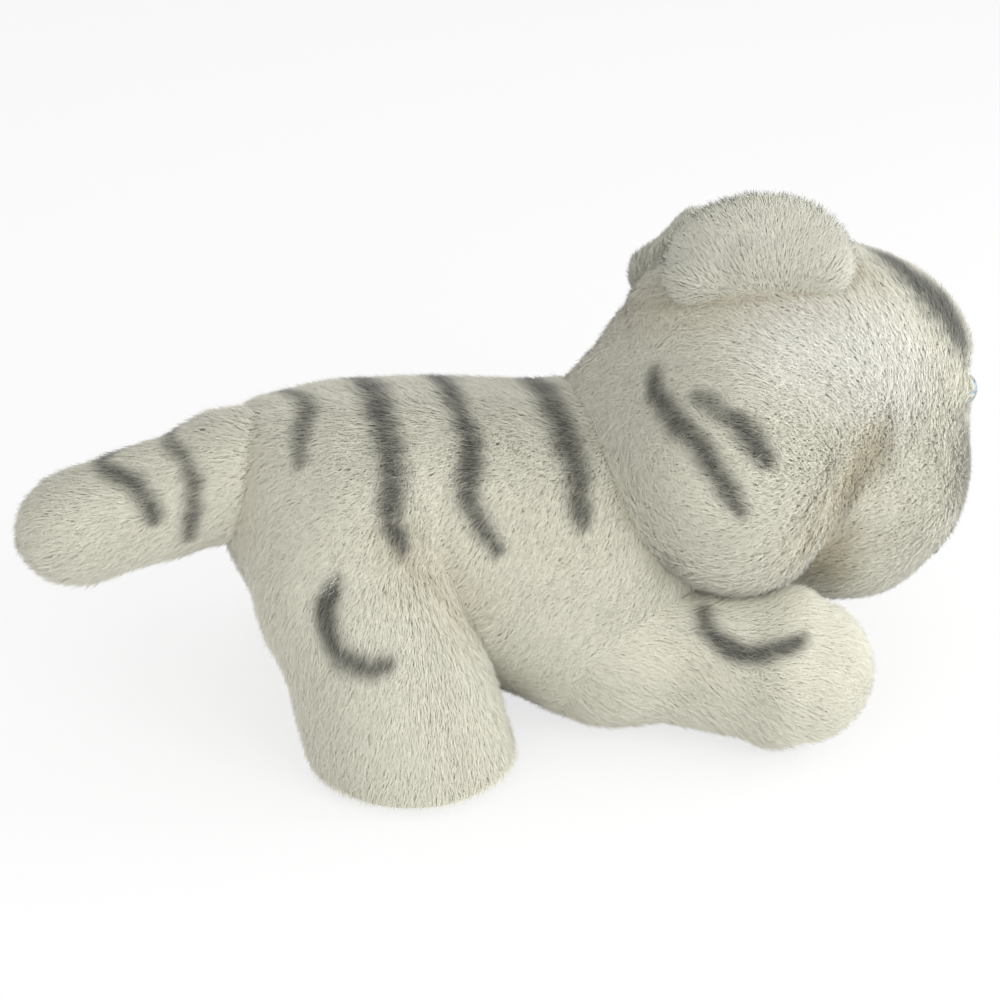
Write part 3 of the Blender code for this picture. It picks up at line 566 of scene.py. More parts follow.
def skull_form(local):
    form = np.linalg.norm(local, axis=1) - SKULL_RADIUS
    form = smooth_union(BROW_BLEND, form, ellipsoid(local, BROW_PLACE, BROW_RADII))
    form = smooth_union(CHEEK_BLEND, form, ellipsoid(local, NAPE_PLACE, NAPE_RADII))
    for _, side in SIDES:
        forward, across, up = CHEEK_PLACE
        form = smooth_union(CHEEK_BLEND, form, ellipsoid(local, (forward, across * side, up), CHEEK_RADII))
    return smooth_union(CHEEK_BLEND, form, capsule(local, BRIDGE_TOP, BRIDGE_FOOT, BRIDGE_RADIUS))


def face_place(name):
    """The middle of a part of the face in the head's frame."""
    low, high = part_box(name)
    return to_head((np.array(low) + np.array(high)) / 2.0)


def lid_form(local, label):
    """A soft fold of cloth behind an eye."""
    place = face_place("eye_" + label)
    outward = unit(place)
    back = unit(np.cross(UP, outward)) * (1.0 if place[1] > 0.0 else -1.0)
    centre = place - outward * LID_SINK + back * LID_BACK
    return np.linalg.norm(local - centre, axis=1) - LID_RADIUS


def head_form(points):
    local = to_head(points)
    muzzle = ellipsoid(local, MUZZLE_PLACE, MUZZLE_RADII)
    muzzle = smooth_union(CHIN_BLEND, muzzle, ellipsoid(local, CHIN_PLACE, CHIN_RADII))
    blend = MUZZLE_BLEND + FACE_BLEND * smooth_step(*FACE_BLEND_REACH, local[:, 0])
    head = smooth_union(blend, skull_form(local), muzzle)
    head = smooth_union(LID_BLEND, head, *(lid_form(local, label) for label, _ in SIDES))
    nose = face_place("nose")
    bed = ellipsoid(local, nose + unit(nose) * NOSE_BED_FORWARD, NOSE_BED_RADII)
    return smooth_cut(NOSE_BED_BLEND, head, -bed)


def ear_axes(label):
    """The ear's frame as columns: along its root, towards its open face, up the flap."""
    root = unit(EAR_AXIS[label])
    outward = unit(EAR_ROOT[label] - NECK)
    outward = unit(outward - root * (outward @ root))
    face = np.cross(outward, root)
    lean = math.radians(EAR_LEAN_DEG[label])
    up = outward * math.cos(lean) + face * math.sin(lean)
    roll = math.radians(EAR_ROLL_DEG[label])
    root, up = root * math.cos(roll) + up * math.sin(roll), up * math.cos(roll) - root * math.sin(roll)
    return np.stack((root, np.cross(up, root), up), axis=1)


EAR_AXES = {label: ear_axes(label) for label, _ in SIDES}


def to_ear(points, label):
    """Points in the ear's frame, with its cup taken out."""
    local = (points - EAR_ROOT[label]) @ EAR_AXES[label] - np.array((EAR_SHIFT[label], 0.0, 0.0))
    raised = np.clip(local[:, 2] / EAR_HEIGHT, 0.0, 1.0)
    local[:, 1] -= EAR_CUP_DEPTH * (local[:, 0] / EAR_HALF_WIDTH) ** 2 * raised
    return local


def ear_form(points, label):
    local = to_ear(points, label)
    middle = (0.0, 0.0, EAR_HEIGHT * 0.20)
    flap = ellipsoid(local, middle, (EAR_HALF_WIDTH, EAR_HALF_THICKNESS, EAR_HEIGHT * 0.80))
    root = capsule(local, (-EAR_ROOT_HALF, 0.0, 0.0), (EAR_ROOT_HALF, 0.0, 0.0), EAR_ROOT_RADIUS)
    return smooth_union(EAR_BLEND, flap, root)


def lining_form(points, label):
    local = to_ear(points, label)
    middle = (0.0, EAR_HALF_THICKNESS * 0.60, EAR_HEIGHT * 0.52)
    radii = (EAR_HALF_WIDTH - LINING_MARGIN, EAR_HALF_THICKNESS * 0.60, EAR_HEIGHT * 0.58 - LINING_MARGIN)
    return ellipsoid(local, middle, radii)


def near_line(points, line, reach):
    """Each point's distance from a line of points and the share of its length where that is nearest.

    Points outside the line's box, grown by reach, count as far away.
    """
    best = np.full(len(points), np.inf)
    where = np.zeros(len(points))
    boxed = (points > line.min(axis=0) - reach) & (points < line.max(axis=0) + reach)
    close = np.flatnonzero(boxed.all(axis=1))
    if len(line) < 2 or not len(close):
        return best, where
    points = points[close]
    start, ahead = line[:-1], line[1:] - line[:-1]
    offsets = points[:, None, :] - start[None]
    along = np.clip((offsets * ahead).sum(axis=2) / np.maximum((ahead ** 2).sum(axis=1), 1e-12), 0.0, 1.0)
    distance = np.linalg.norm(offsets - along[..., None] * ahead, axis=2)
    nearest = distance.argmin(axis=1)
    rows = np.arange(len(points))
    best[close] = distance[rows, nearest]
    where[close] = (nearest + along[rows, nearest]) / len(ahead)
    return best, where


def grooved(form, lines, depth, reach):
    """A form with soft grooves along lines of points on it, as where a seam pulls the cloth in."""
    def cut(points):
        value = form(points)
        for line in lines:
            distance, where = near_line(points, line, 3.0 * reach)
            taper = smooth_step(0.0, 0.25, where) * smooth_step(0.0, 0.25, 1.0 - where)
            value = value + depth * taper * np.exp(-(distance / reach) ** 2)
        return value
    return cut


# Cloth skins: a mesh over the level set of a form

def gradient(form, points, step=0.0004):
    return np.stack([
        (form(points + offset) - form(points - offset)) / (2.0 * step)
        for offset in np.eye(3) * step], axis=1)


def surface_net(form, low, high, cell):
    """Vertices and quads over form = 0, one vertex in each grid cell that the surface crosses."""
    counts = [int(math.ceil((b - a) / cell)) + 1 for a, b in zip(low, high)]
    axes = [a + cell * np.arange(n) for a, n in zip(low, counts)]
    grid = np.stack(np.meshgrid(*axes, indexing="ij"), axis=-1)
    values = form(grid.reshape(-1, 3)).reshape(counts)
    cells = tuple(n - 1 for n in counts)
    total = np.zeros(cells + (3,))
    hits = np.zeros(cells)

    def corner(offset):
        return values[tuple(slice(o, o + n) for o, n in zip(offset, cells))]

    for axis in range(3):
        others = [a for a in range(3) if a != axis]
        for first, second in np.ndindex(2, 2):
            start = [0, 0, 0]
            start[others[0]], start[others[1]] = first, second
            end = list(start)
            end[axis] = 1
            a, b = corner(start), corner(end)
            crossed = (a < 0.0) != (b < 0.0)
            share = np.where(crossed, a / np.where(crossed, a - b, 1.0), 0.0)
            place = np.array(start, float) + share[..., None] * (np.array(end) - np.array(start))
            total += place * crossed[..., None]
            hits += crossed
    used = hits > 0
    index = np.full(cells, -1)
    index[used] = np.arange(used.sum())
    where = np.argwhere(used)
    vertices = (where + total[used] / hits[used][:, None]) * cell + np.array(low)
    quads = []
    inside = values < 0.0
    for axis in range(3):
        others = [a for a in range(3) if a != axis]
        ahead = [slice(None)] * 3
        back = [slice(None)] * 3
        ahead[axis], back[axis] = slice(1, None), slice(None, -1)
        for a in others:
            ahead[a] = back[a] = slice(1, -1)
        crossing = inside[tuple(back)] != inside[tuple(ahead)]
        places = np.argwhere(crossing)
        leaving = inside[tuple(back)][crossing]
        for a in others:
            places[:, a] += 1
        corners = []
        for first, second in ((0, 0), (1, 0), (1, 1), (0, 1)):
            shifted = places.copy()
            shifted[:, others[0]] -= first
            shifted[:, others[1]] -= second
            corners.append(index[tuple(shifted.T)])
        quad = np.stack(corners, axis=1)
        flip = leaving if axis == 1 else ~leaving
        quad[flip] = quad[flip][:, ::-1]
        quads.append(quad)
    return vertices, np.concatenate(quads)


def settle(form, vertices, rounds=4):
    for _ in range(rounds):
        slope = gradient(form, vertices)
        size = np.maximum((slope ** 2).sum(axis=1, keepdims=True), 0.04)
        vertices = vertices - form(vertices)[:, None] * slope / size
    return vertices


def mesh_of(name, vertices, faces):
    """A mesh from vertices and faces, as an array or a list of rows of vertex numbers."""
    if isinstance(faces, np.ndarray):
        corners, sizes = faces.ravel(), np.full(len(faces), faces.shape[1])
    else:
        corners, sizes = np.concatenate(faces), np.array([len(face) for face in faces])
    mesh = bpy.data.meshes.new(name)
    mesh.vertices.add(len(vertices))
    mesh.vertices.foreach_set("co", vertices.astype(np.float32).ravel())
    mesh.loops.add(len(corners))
    mesh.loops.foreach_set("vertex_index", corners.astype(np.int32))
    mesh.polygons.add(len(sizes))
    mesh.polygons.foreach_set("loop_start", (np.cumsum(sizes) - sizes).astype(np.int32))
    mesh.update(calc_edges=True)
    mesh.shade_smooth()
    return mesh


def new_piece(name, mesh, material, body):
    piece = bpy.data.objects.new(name, mesh)
    bpy.context.scene.collection.objects.link(piece)
    mesh.materials.append(material)
    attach(piece, body)
    return piece


def set_colours(mesh, colours):
    attribute = mesh.attributes.new("pile_colour", "FLOAT_COLOR", "POINT")
    full = np.ones((len(colours), 4), np.float32)
    full[:, :3] = colours
    attribute.data.foreach_set("color", full.ravel())


class Skin:
    """The cloth of one stuffed form, and what its pile needs to know."""

    def __init__(self, form, nodes, depth=PILE_DEPTH, cell=CELL):
        self.outer = form
        self.depth = depth
        boxes = [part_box(node) for node in nodes]
        low = [min(box[0][a] for box in boxes) - SKIN_MARGIN for a in range(3)]
        high = [max(box[1][a] for box in boxes) + SKIN_MARGIN for a in range(3)]
        vertices, self.quads = surface_net(self.cloth, low, high, cell)
        self.vertices = settle(self.cloth, vertices)
        self.normals = unit(gradient(self.cloth, self.vertices))
        self.nodes = nodes

    def cloth(self, points):
        return self.outer(points) + self.depth


# Camera rays through pixels of the photograph

def camera_place():
    azimuth, rise = math.radians(CAMERA_AZIMUTH_DEG), math.radians(CAMERA_RISE_DEG)
    away = Vector((
        math.sin(azimuth) * math.cos(rise), -math.cos(azimuth) * math.cos(rise), math.sin(rise)))
    place = CAMERA_TARGET + away * CAMERA_DISTANCE
    turn = (-away).to_track_quat("-Z", "Y").to_matrix()
    return place, turn


CAMERA_PLACE, CAMERA_TURN = camera_place()


def cast(pixel, trees):
    """The nearest point of the given surfaces behind a pixel of the photograph."""
    scale = CAMERA_SENSOR_MM / CAMERA_LENS_MM / IMAGE_SIZE
    across = (pixel[0] - IMAGE_SIZE / 2.0) * scale
    up = (IMAGE_SIZE / 2.0 - pixel[1]) * scale
    ray = (CAMERA_TURN @ Vector((across, up, -1.0))).normalized()
    best = None
    for tree in trees:
        hit, _, _, distance = tree.ray_cast(CAMERA_PLACE, ray)
        if hit is not None and (best is None or distance < best[0]):
            best = (distance, hit)
    return None if best is None else np.array(best[1])


def cast_line(pixels, trees, steps=4):
    """A line of points on the surface under a line drawn on the photograph."""
    points = []
    for start, end in zip(pixels, pixels[1:]):
        for step in range(steps):
            share = step / steps
            points.append(cast([a + (b - a) * share for a, b in zip(start, end)], trees))
    points.append(cast(pixels[-1], trees))
    return np.array([p for p in points if p is not None])


def stripe_share(points, stripes):
    """How dark each point is from 0 to 1, as sprayed on: a dark core that fades softly outwards."""
    dark = np.zeros(len(points))
    wobble = noises(points, EDGE_NOISES)
    for line, half_width, strength in stripes:
        distance, where = near_line(points, line, 3.0 * half_width)
        taper = 0.60 + 0.40 * np.clip(4.0 * where * (1.0 - where), 0.0, 1.0) ** 0.5
        edge = distance / (half_width * taper) + wobble
        dark = np.maximum(dark, strength * (1.0 - smooth_step(0.20, 1.90, edge)))
    return dark


def tint_share(points, tints):
    """How much each point takes of a tint, from 0 to 1, along lines with a half width and a strength."""
    share = np.zeros(len(points))
    for line, half_width, strength in tints:
        distance, _ = near_line(points, line, 2.0 * half_width)
        share = np.maximum(share, strength * (1.0 - smooth_step(0.1, 1.8, distance / half_width)))
    return share


def crease_shading(lines):
    """Rows for the shade painted along each crease line: strong inside, with a weak halo."""
    return [(line, *row) for line in lines for row in (CREASE_SHADE_CORE, CREASE_SHADE_HALO)]


def with_mirrored(line):
    """A line and its mirror image in the toy's middle plane."""
    return [line, line * MIRROR]


def head_mirrored(line):
    """The mirror image of a line in the head's middle plane."""
    return from_head(to_head(line) * MIRROR)


# Pile

def sample_roots(skin, density, rng):
    """Places spread evenly over a skin, so many to the square millimetre, with its normals there."""
    quads = skin.quads
    triangles = np.concatenate((quads[:, [0, 1, 2]], quads[:, [0, 2, 3]]))
    a, b, c = (skin.vertices[triangles[:, k]] for k in range(3))
    areas = np.linalg.norm(np.cross(b - a, c - a), axis=1) / 2.0
    chosen = rng.choice(len(triangles), size=int(areas.sum() * 1e6 * density), p=areas / areas.sum())
    u, v = rng.random(len(chosen)), rng.random(len(chosen))
    over = u + v > 1.0
    u[over], v[over] = 1.0 - u[over], 1.0 - v[over]
    weights = np.stack((1.0 - u - v, u, v), axis=1)[..., None]
    corners = triangles[chosen]
    roots = (skin.vertices[corners] * weights).sum(axis=1)
    return roots, unit((skin.normals[corners] * weights).sum(axis=1))


def strand_mesh(name, roots, normals, flow, lengths, calm, rng, colour_at, depth):
    """Slim closed strands, pointed at both ends and bent over along flow. Less drift where calm is 1."""
    count = len(roots)
    drift = noise_vectors(roots, DRIFTS) * (1.0 - CALM_SHARE * calm)[:, None]
    along = flow + drift + rng.normal(0.0, DRIFT_SPREAD, (count, 3))
    along = unit(along - normals * (along * normals).sum(axis=1, keepdims=True))
    lean = PILE_LEAN_DEG + noises(roots, [LEAN_NOISE]) + rng.normal(0.0, LEAN_SPREAD_DEG, count)
    first, last = (
        normals * np.cos(angle) + along * np.sin(angle)
        for angle in (np.radians(lean)[:, None] * bend for bend in STRAND_BEND))
    lengths = (lengths * rng.uniform(*STRAND_LENGTHS, count))[:, None]
    middle = roots + first * lengths * STRAND_MIDDLE
    tip = middle + last * lengths * (1.0 - STRAND_MIDDLE)
    side = unit(np.cross(first, normals))
    rise = np.cross(side, first)
    ring = [
        (side * math.cos(angle) + rise * math.sin(angle)) / 2.0
        for angle in map(math.radians, (90.0, 210.0, 330.0))]
    points = np.stack((roots, *(middle + outward * STRAND_WIDTH for outward in ring), tip), axis=1)
    points[..., 2] = np.maximum(points[..., 2], FLOOR_CLEARANCE)
    faces = np.arange(count)[:, None, None] * points.shape[1] + np.array(STRAND_CORNERS)
    mesh = mesh_of(name, points.reshape(-1, 3), faces.reshape(-1, 3))
    spread = rng.normal(0.0, STRAND_SHADE_SPREAD, count)
    shades = []
    for place, root_share in ((roots, 1.0), (middle, 0.35), (tip, 0.0)):
        height = ((place - roots) * normals).sum(axis=1, keepdims=True)
        shades.append(colour_at(place + normals * (depth - height), root_share, spread))
    set_colours(mesh, np.stack([shades[k] for k in (0, 1, 1, 1, 2)], axis=1).reshape(-1, 3))
    at_ring, at_tip = STRAND_ROUNDNESS
    shade = [normals, *(unit(normals + outward * at_ring) for outward in ring), unit(normals + last * at_tip)]
    mesh.normals_split_custom_set_from_vertices(np.stack(shade, axis=1).reshape(-1, 3).tolist())
    add_bake_map(mesh, count)
    return mesh


def add_bake_map(mesh, count):
    """A map with a cell of its own for each strand, so that its colours can be kept as a texture."""
    cells = int(math.ceil(math.sqrt(count)))
    size = 1.0 / cells
    place = np.arange(count)
    low = np.stack((place % cells, place // cells), axis=1) * size
    shape = np.array(((0.5, 0.05), (0.05, 0.5), (0.5, 0.5), (0.95, 0.5), (0.5, 0.95)))
    corners = low[:, None, :] + shape[np.array(STRAND_CORNERS).ravel()][None] * size
    layer = mesh.uv_layers.new(name="OFBake")
    layer.data.foreach_set("uv", corners.astype(np.float32).ravel())


def painter(colour, stripes, shaded_creases, highlights):
    """The colour of the pile at points on its outer surface, with painted shade and a painted highlight laid
    in. root_share is 1 at roots, 0 at tips.
    """
    def colour_at(points, root_share, spread=0.0):
        lit = 1.0 + spread * np.ones(len(points))
        shade = colour * (lit + noises(points, [LIGHT_NOISE]))[:, None]
        shade = mixed(shade, shade * WARMTH, np.maximum(noises(points, [WARM_NOISE]), 0.0)[:, None])
        # Painted highlight: paler towards white on the brow
        shade = mixed(shade, HIGHLIGHT_WHITE * lit[:, None], tint_share(points, highlights)[:, None])
        # Painted shade, darker towards the roots
        shade = shade * (1.0 - ROOT_SHADE * root_share)
        # Painted shade along each crease line, stronger towards the roots
        tint = tint_share(points, shaded_creases) * (0.65 + 0.30 * root_share)
        shade = mixed(shade, CREASE_SHADE, tint[:, None])
        dark = stripe_share(points, stripes) * (1.0 + spread * 3.0) * (1.0 - 0.45 * root_share)
        return mixed(shade, STRIPE, np.clip(dark, 0.0, 1.0)[:, None])
    return colour_at


def dress(
        name, skin, body, flow, stripes=(), shaded_creases=(), highlights=(), hidden_by=(), lengths=None, calm=None,
        share=1.0, colour=CREAM, seed=1):
    """The cloth and the pile of one stuffed form. Roots inside the neighbours' cloth grow nothing."""
    rng = np.random.default_rng(seed)
    colour_at = painter(colour, stripes, shaded_creases, highlights)
    mesh = mesh_of(name + "_cloth", skin.vertices, skin.quads)
    outer = skin.vertices + skin.normals * skin.depth
    # The cloth: the pile's colour with the roots' painted shade, darkened further as painted shade
    set_colours(mesh, colour_at(outer, CLOTH_ROOT_SHARE) * (SHADED_CLOTH / CREAM))
    cloth = new_piece(name + "_cloth", mesh, CLOTH_MATERIAL, body)
    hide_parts(*skin.nodes)
    roots, normals = sample_roots(skin, STRANDS_PER_MM2 * share, rng)
    for other in hidden_by:
        kept = other.cloth(roots) > -HIDDEN_DEPTH
        roots, normals = roots[kept], normals[kept]
    long = np.full(len(roots), PILE_LENGTH) if lengths is None else lengths(roots)
    kept = long > SHORTEST_SHARE * PILE_LENGTH
    roots, normals, long = roots[kept], normals[kept], long[kept]
    long = long * mixed(FLOOR_LENGTH_SHARE, 1.0, smooth_step(*FLOOR_REACH, roots[:, 2]))
    long = long * (1.0 - CREASE_SHORTENING * tint_share(roots + normals * skin.depth, shaded_creases))
    still = np.zeros(len(roots)) if calm is None else calm(roots)
    pieces = int(math.ceil(len(roots) / PIECE_STRANDS))
    order = np.argsort(roots[:, 0]) if pieces > 1 else np.arange(len(roots))
    for number, part in enumerate(np.array_split(order, pieces)):
        piece_name = f"{name}_pile_{number + 1}"
        mesh = strand_mesh(
            piece_name, roots[part], normals[part], flow(roots[part]), long[part], still[part], rng,
            colour_at, skin.depth)
        new_piece(piece_name, mesh, PILE_MATERIAL, body)
    return cloth


# Materials

def new_material(name, roughness, sheen=0.0):
    material = bpy.data.materials.new(name)
    material.use_nodes = True
    shader = material.node_tree.nodes["Principled BSDF"]
    shader.inputs["Roughness"].default_value = roughness
    shader.inputs["Sheen Weight"].default_value = sheen
    shader.inputs["Sheen Roughness"].default_value = 0.5
    return material, material.node_tree, shader


def node(tree, kind, inputs=None, **settings):
    made = tree.nodes.new(kind)
    for key, value in settings.items():
        setattr(made, key, value)
    for key, value in (inputs or {}).items():
        made.inputs[key].default_value = value
    return made


def wire(tree, *links):
    """Links nodes. Each row has a node and its output, then a node and its input."""
    for source, output, target, socket in links:
        tree.links.new(source.outputs[output], target.inputs[socket])


def painted_material(name, roughness, sheen, grain_scale, grain):
    """Cloth or pile that takes its colour from the mesh, with fine grain in colour and roughness."""
    material, tree, shader = new_material(name, roughness, sheen)
    shader.inputs["Specular IOR Level"].default_value = 0.25
    colour = node(tree, "ShaderNodeAttribute", attribute_name="pile_colour")
    place = node(tree, "ShaderNodeTexCoord")
    speckle = node(tree, "ShaderNodeTexNoise", {"Scale": grain_scale, "Detail": 3.0, "Roughness": 0.6})
    spread = node(tree, "ShaderNodeMapRange", {
        "From Min": 0.3, "From Max": 0.7, "To Min": 1.0 - grain, "To Max": 1.0 + grain})
    grained = node(tree, "ShaderNodeVectorMath", operation="SCALE")
    rough = node(tree, "ShaderNodeMapRange", {"To Min": roughness - 0.08, "To Max": roughness + 0.08})
    wire(
        tree, (place, "Object", speckle, "Vector"), (speckle, "Fac", spread, "Value"),
        (colour, "Color", grained, 0), (spread, "Result", grained, "Scale"),
        (grained, "Vector", shader, "Base Color"), (speckle, "Fac", rough, "Value"),
        (rough, "Result", shader, "Roughness"))
    return material


PILE_MATERIAL = painted_material("pile", 0.86, 0.30, 900.0, 0.05)
CLOTH_MATERIAL = painted_material("cloth", 0.92, 0.10, 1400.0, 0.10)
THREAD_MATERIAL = painted_material("thread", 0.45, 0.0, 2600.0, 0.20)


# The stuffed forms

def side_form(form, label):
    return lambda points: form(points, label)


def form_tree(form, *nodes):
    skin = Skin(form, nodes, PLAIN_DEPTH, PLAIN_CELL)
    return BVHTree.FromPolygons(skin.vertices.tolist(), skin.quads.tolist())


BODY_TREE = form_tree(body_form, "body")
HEAD_TREE = form_tree(head_form, "head", "muzzle", "chin")
TAIL_TREE = form_tree(tail_form, "tail")
HIND_TREE = form_tree(side_form(hind_leg_form, "right"), "hind_leg_right")
FRONT_TREE = form_tree(side_form(front_leg_form, "right"), "front_leg_right")
EAR_TREE = form_tree(side_form(ear_form, "right"), "ear_right")


def crease_line(pixels, *trees):
    return cast_line(pixels, trees, 3)


def head_lines(pixels):
    """A line on the near side of the head and its mirror image in the head's middle plane."""
    line = crease_line(pixels, HEAD_TREE)
    return [line, head_mirrored(line)]


HAUNCH_CREASES = with_mirrored(crease_line(HAUNCH_CREASE_PX, BODY_TREE, HIND_TREE))
THIGH_CREASES = with_mirrored(crease_line(THIGH_CREASE_PX, HIND_TREE))
TAIL_CREASES = with_mirrored(crease_line(TAIL_CREASE_PX, BODY_TREE, TAIL_TREE))
CHEEK_CREASES, EAR_CREASES = head_lines(CHEEK_CREASE_PX), head_lines(EAR_CREASE_PX)
SPINE_SEAM = [crease_line(SPINE_SEAM_PX, BODY_TREE)]
EAR_PLEAT = [crease_line(EAR_PLEAT_PX, EAR_TREE)]

BODY = Skin(
    grooved(grooved(body_form, HAUNCH_CREASES, *SEAM_GROOVE), SPINE_SEAM + TAIL_CREASES, *FINE_GROOVE),
    ["body"])
HEAD = Skin(
    grooved(grooved(head_form, CHEEK_CREASES, *CHEEK_GROOVE), EAR_CREASES, *SEAM_GROOVE),
    ["head", "muzzle", "chin"])
TAIL = Skin(grooved(tail_form, TAIL_CREASES, *FINE_GROOVE), ["tail"])
HIND = {
    label: Skin(
        grooved(side_form(hind_leg_form, label), THIGH_CREASES + HAUNCH_CREASES, *SEAM_GROOVE),
        ["hind_leg_" + label])
    for label, _ in SIDES}
FRONT = {label: Skin(side_form(front_leg_form, label), ["front_leg_" + label]) for label, _ in SIDES}
EARS = {
    label: Skin(
        grooved(side_form(ear_form, label), EAR_PLEAT, *SEAM_GROOVE), ["ear_" + label],
        EAR_PILE_DEPTH, EAR_CELL)
    for label, _ in SIDES}
LININGS = {
    label: Skin(side_form(lining_form, label), ["ear_lining_" + label], LINING_DEPTH, LINING_CELL)
    for label, _ in SIDES}


def flow_to(direction):
    return lambda points: np.tile(unit(np.array(direction, float)), (len(points), 1))


def body_flow(points):
    side = np.sign(points[:, 1])[:, None]
    return np.array((-0.75, 0.0, -0.45)) + side * np.array((0.0, 0.30, 0.0))


def head_flow(points):
    local = to_head(points)
    away = local - np.array((0.112, 0.0, -0.030))
    return unit(away) @ HEAD_POSE.T


def face_share(points):
    """1 on the face, 0 on the back of the head."""
    return smooth_step(0.005, 0.045, to_head(points)[:, 0])


def even_pile(share):
    return lambda points: np.full(len(points), PILE_LENGTH * share)


def head_pile(points):
    """The pile's length on the head: shorter on the face, and none around the eyes and the nose."""
    local = to_head(points)
    length = PILE_LENGTH * (1.0 - 0.12 * face_share(points))
    for name, bare in (("eye_left", EYE_BARE), ("eye_right", EYE_BARE), ("nose", NOSE_BARE)):
        length = length * smooth_step(*bare, np.linalg.norm(local - face_place(name), axis=1))
    return length


def ear_flow(label):
    def flow(points):
        local = (points - EAR_ROOT[label]) @ EAR_AXES[label]
        away = local * np.array((0.8, 0.0, 0.6)) + np.array((0.0, 0.0, 0.02))
        return unit(away) @ EAR_AXES[label].T
    return flow


def on_head(places, steps):
    """A line on the head through directions from the neck's joint, given in the head's frame."""
    places = np.array(places)
    shares = np.linspace(0.0, 1.0, steps)[:, None]
    dense = np.concatenate([a + (b - a) * shares for a, b in zip(places, places[1:])])
    centre = Vector(NECK)
    rays = ((Vector(point) - centre).normalized() for point in from_head(dense))
    hits = (HEAD_TREE.ray_cast(centre, ray)[0] for ray in rays)
    return np.array([hit for hit in hits if hit is not None])


def stripes_on(rows, *trees):
    return [(cast_line(pixels, trees), *size) for pixels, *size in rows]


def both_sides(stripes):
    return [(copy, *size) for line, *size in stripes for copy in with_mirrored(line)]


def body_stripes():
    """Stripes of the near side, mirrored and joined over the spine. They run on under the haunches."""
    lines = []
    for line, *size in stripes_on(BODY_STRIPES_PX, BODY_TREE, HIND_TREE, FRONT_TREE):
        line = line[line[:, 1] < -SPINE_MARGIN]
        above = Vector((line[0][0], 0.0, TRUNK_HEIGHT + SKY_REACH))
        top = BODY_TREE.ray_cast(above, Vector((0.0, 0.0, -1.0)))[0]
        lines.append((np.concatenate((line[::-1] * MIRROR, [np.array(top)], line)), *size))
    return lines


def head_stripes():
    """Stripes of the near side, mirrored where they aren't on the nape, and the forehead's."""
    lines = []
    for line, *size in stripes_on(HEAD_STRIPES_PX, HEAD_TREE):
        local = to_head(line) * MIRROR
        shown = (local[:, 1] > BACK_STRIPE_MARGIN) | (local[:, 0] > 0.0)
        lines += [(line, *size), (from_head(local[shown]), *size)]
    return lines + [(on_head(FOREHEAD_STRIPE, 6), *FOREHEAD_STRIPE_SIZE)]


# Painted shade along each crease line, and the painted shadow beside the cheek's crease
HEAD_SHADED_CREASES = crease_shading(CHEEK_CREASES + EAR_CREASES)
HEAD_SHADED_CREASES += [(line, *CHEEK_SHADE) for line in head_lines(CHEEK_SHADE_PX)]
# Painted highlight on the brow, on both sides of the head
HEAD_HIGHLIGHT = [(line, *BROW_HIGHLIGHT) for line in head_lines(BROW_HIGHLIGHT_PX)]
HIND_SHADED_CREASES = crease_shading(HAUNCH_CREASES)
BODY_SHADED_CREASES = crease_shading(HAUNCH_CREASES + TAIL_CREASES)
BODY_STRIPES = body_stripes()

dress(
    "body", BODY, "body", body_flow, BODY_STRIPES, BODY_SHADED_CREASES,
    hidden_by=[*HIND.values(), *FRONT.values(), HEAD, TAIL], seed=3)
dress(
    "head", HEAD, "head", head_flow, head_stripes(), HEAD_SHADED_CREASES, HEAD_HIGHLIGHT, hidden_by=[BODY],
    lengths=head_pile, calm=face_share, seed=5)
dress(
    "tail", TAIL, "tail", flow_to((-1.0, 0.0, -0.35)), both_sides(stripes_on(TAIL_STRIPES_PX, TAIL_TREE)),
    hidden_by=[BODY], seed=7)
HIND_STRIPES = both_sides(stripes_on(HIND_STRIPES_PX, HIND_TREE)) + BODY_STRIPES
FRONT_STRIPES = both_sides(stripes_on(FRONT_STRIPES_PX, FRONT_TREE))
for label, side in SIDES:
    hind, front, ear = "hind_leg_" + label, "front_leg_" + label, "ear_" + label
    dress(
        hind, HIND[label], hind, flow_to((-0.35, 0.25 * side, -1.0)), HIND_STRIPES, HIND_SHADED_CREASES,
        hidden_by=[BODY], seed=11 + int(side))
    dress(
        front, FRONT[label], front, flow_to((1.0, 0.45 * side, -0.25)), FRONT_STRIPES,
        hidden_by=[BODY, HEAD], seed=15 + int(side))
    dress(
        ear, EARS[label], ear, ear_flow(label), hidden_by=[HEAD, LININGS[label]], share=1.2,
        lengths=even_pile(EAR_PILE_SHARE), colour=EAR_BACK_SHADED, seed=19 + int(side))
    dress(
        "ear_lining_" + label, LININGS[label], ear, ear_flow(label), hidden_by=[HEAD], share=1.2,
        lengths=even_pile(LINING_PILE_SHARE), colour=LINING, seed=23 + int(side))


# Soles

def dress_sole(label):
    """An oval of smooth cloth under the foot, with a rounded rim."""
    low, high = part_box("hind_sole_" + label)
    centre = (np.array(low) + np.array(high)) / 2.0
    half = np.array((SOLE_HALF_LENGTH, SOLE_HALF_WIDTH, SOLE_THICKNESS / 2.0 + SOLE_CLEARANCE))

    def form(points):
        local = np.abs(points - centre) / half
        flat = np.hypot(local[:, 0], local[:, 1])
        rim = (flat ** SOLE_POWER + local[:, 2] ** SOLE_POWER) ** (1.0 / SOLE_POWER)
        return (rim - 1.0) * half[2]

    reach = half + SOLE_THICKNESS
    vertices, quads = surface_net(form, centre - reach, centre + reach, SOLE_CELL)
    vertices[:, 2] = np.maximum(vertices[:, 2], SOLE_CLEARANCE)
    mesh = mesh_of("hind_sole_" + label, vertices, quads)
    set_colours(mesh, np.tile(SOLE, (len(vertices), 1)))
    piece = new_piece("hind_sole_cloth_" + label, mesh, CLOTH_MATERIAL, "hind_leg_" + label)
    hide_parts("hind_sole_" + label)


for label, _ in SIDES:
    dress_sole(label)


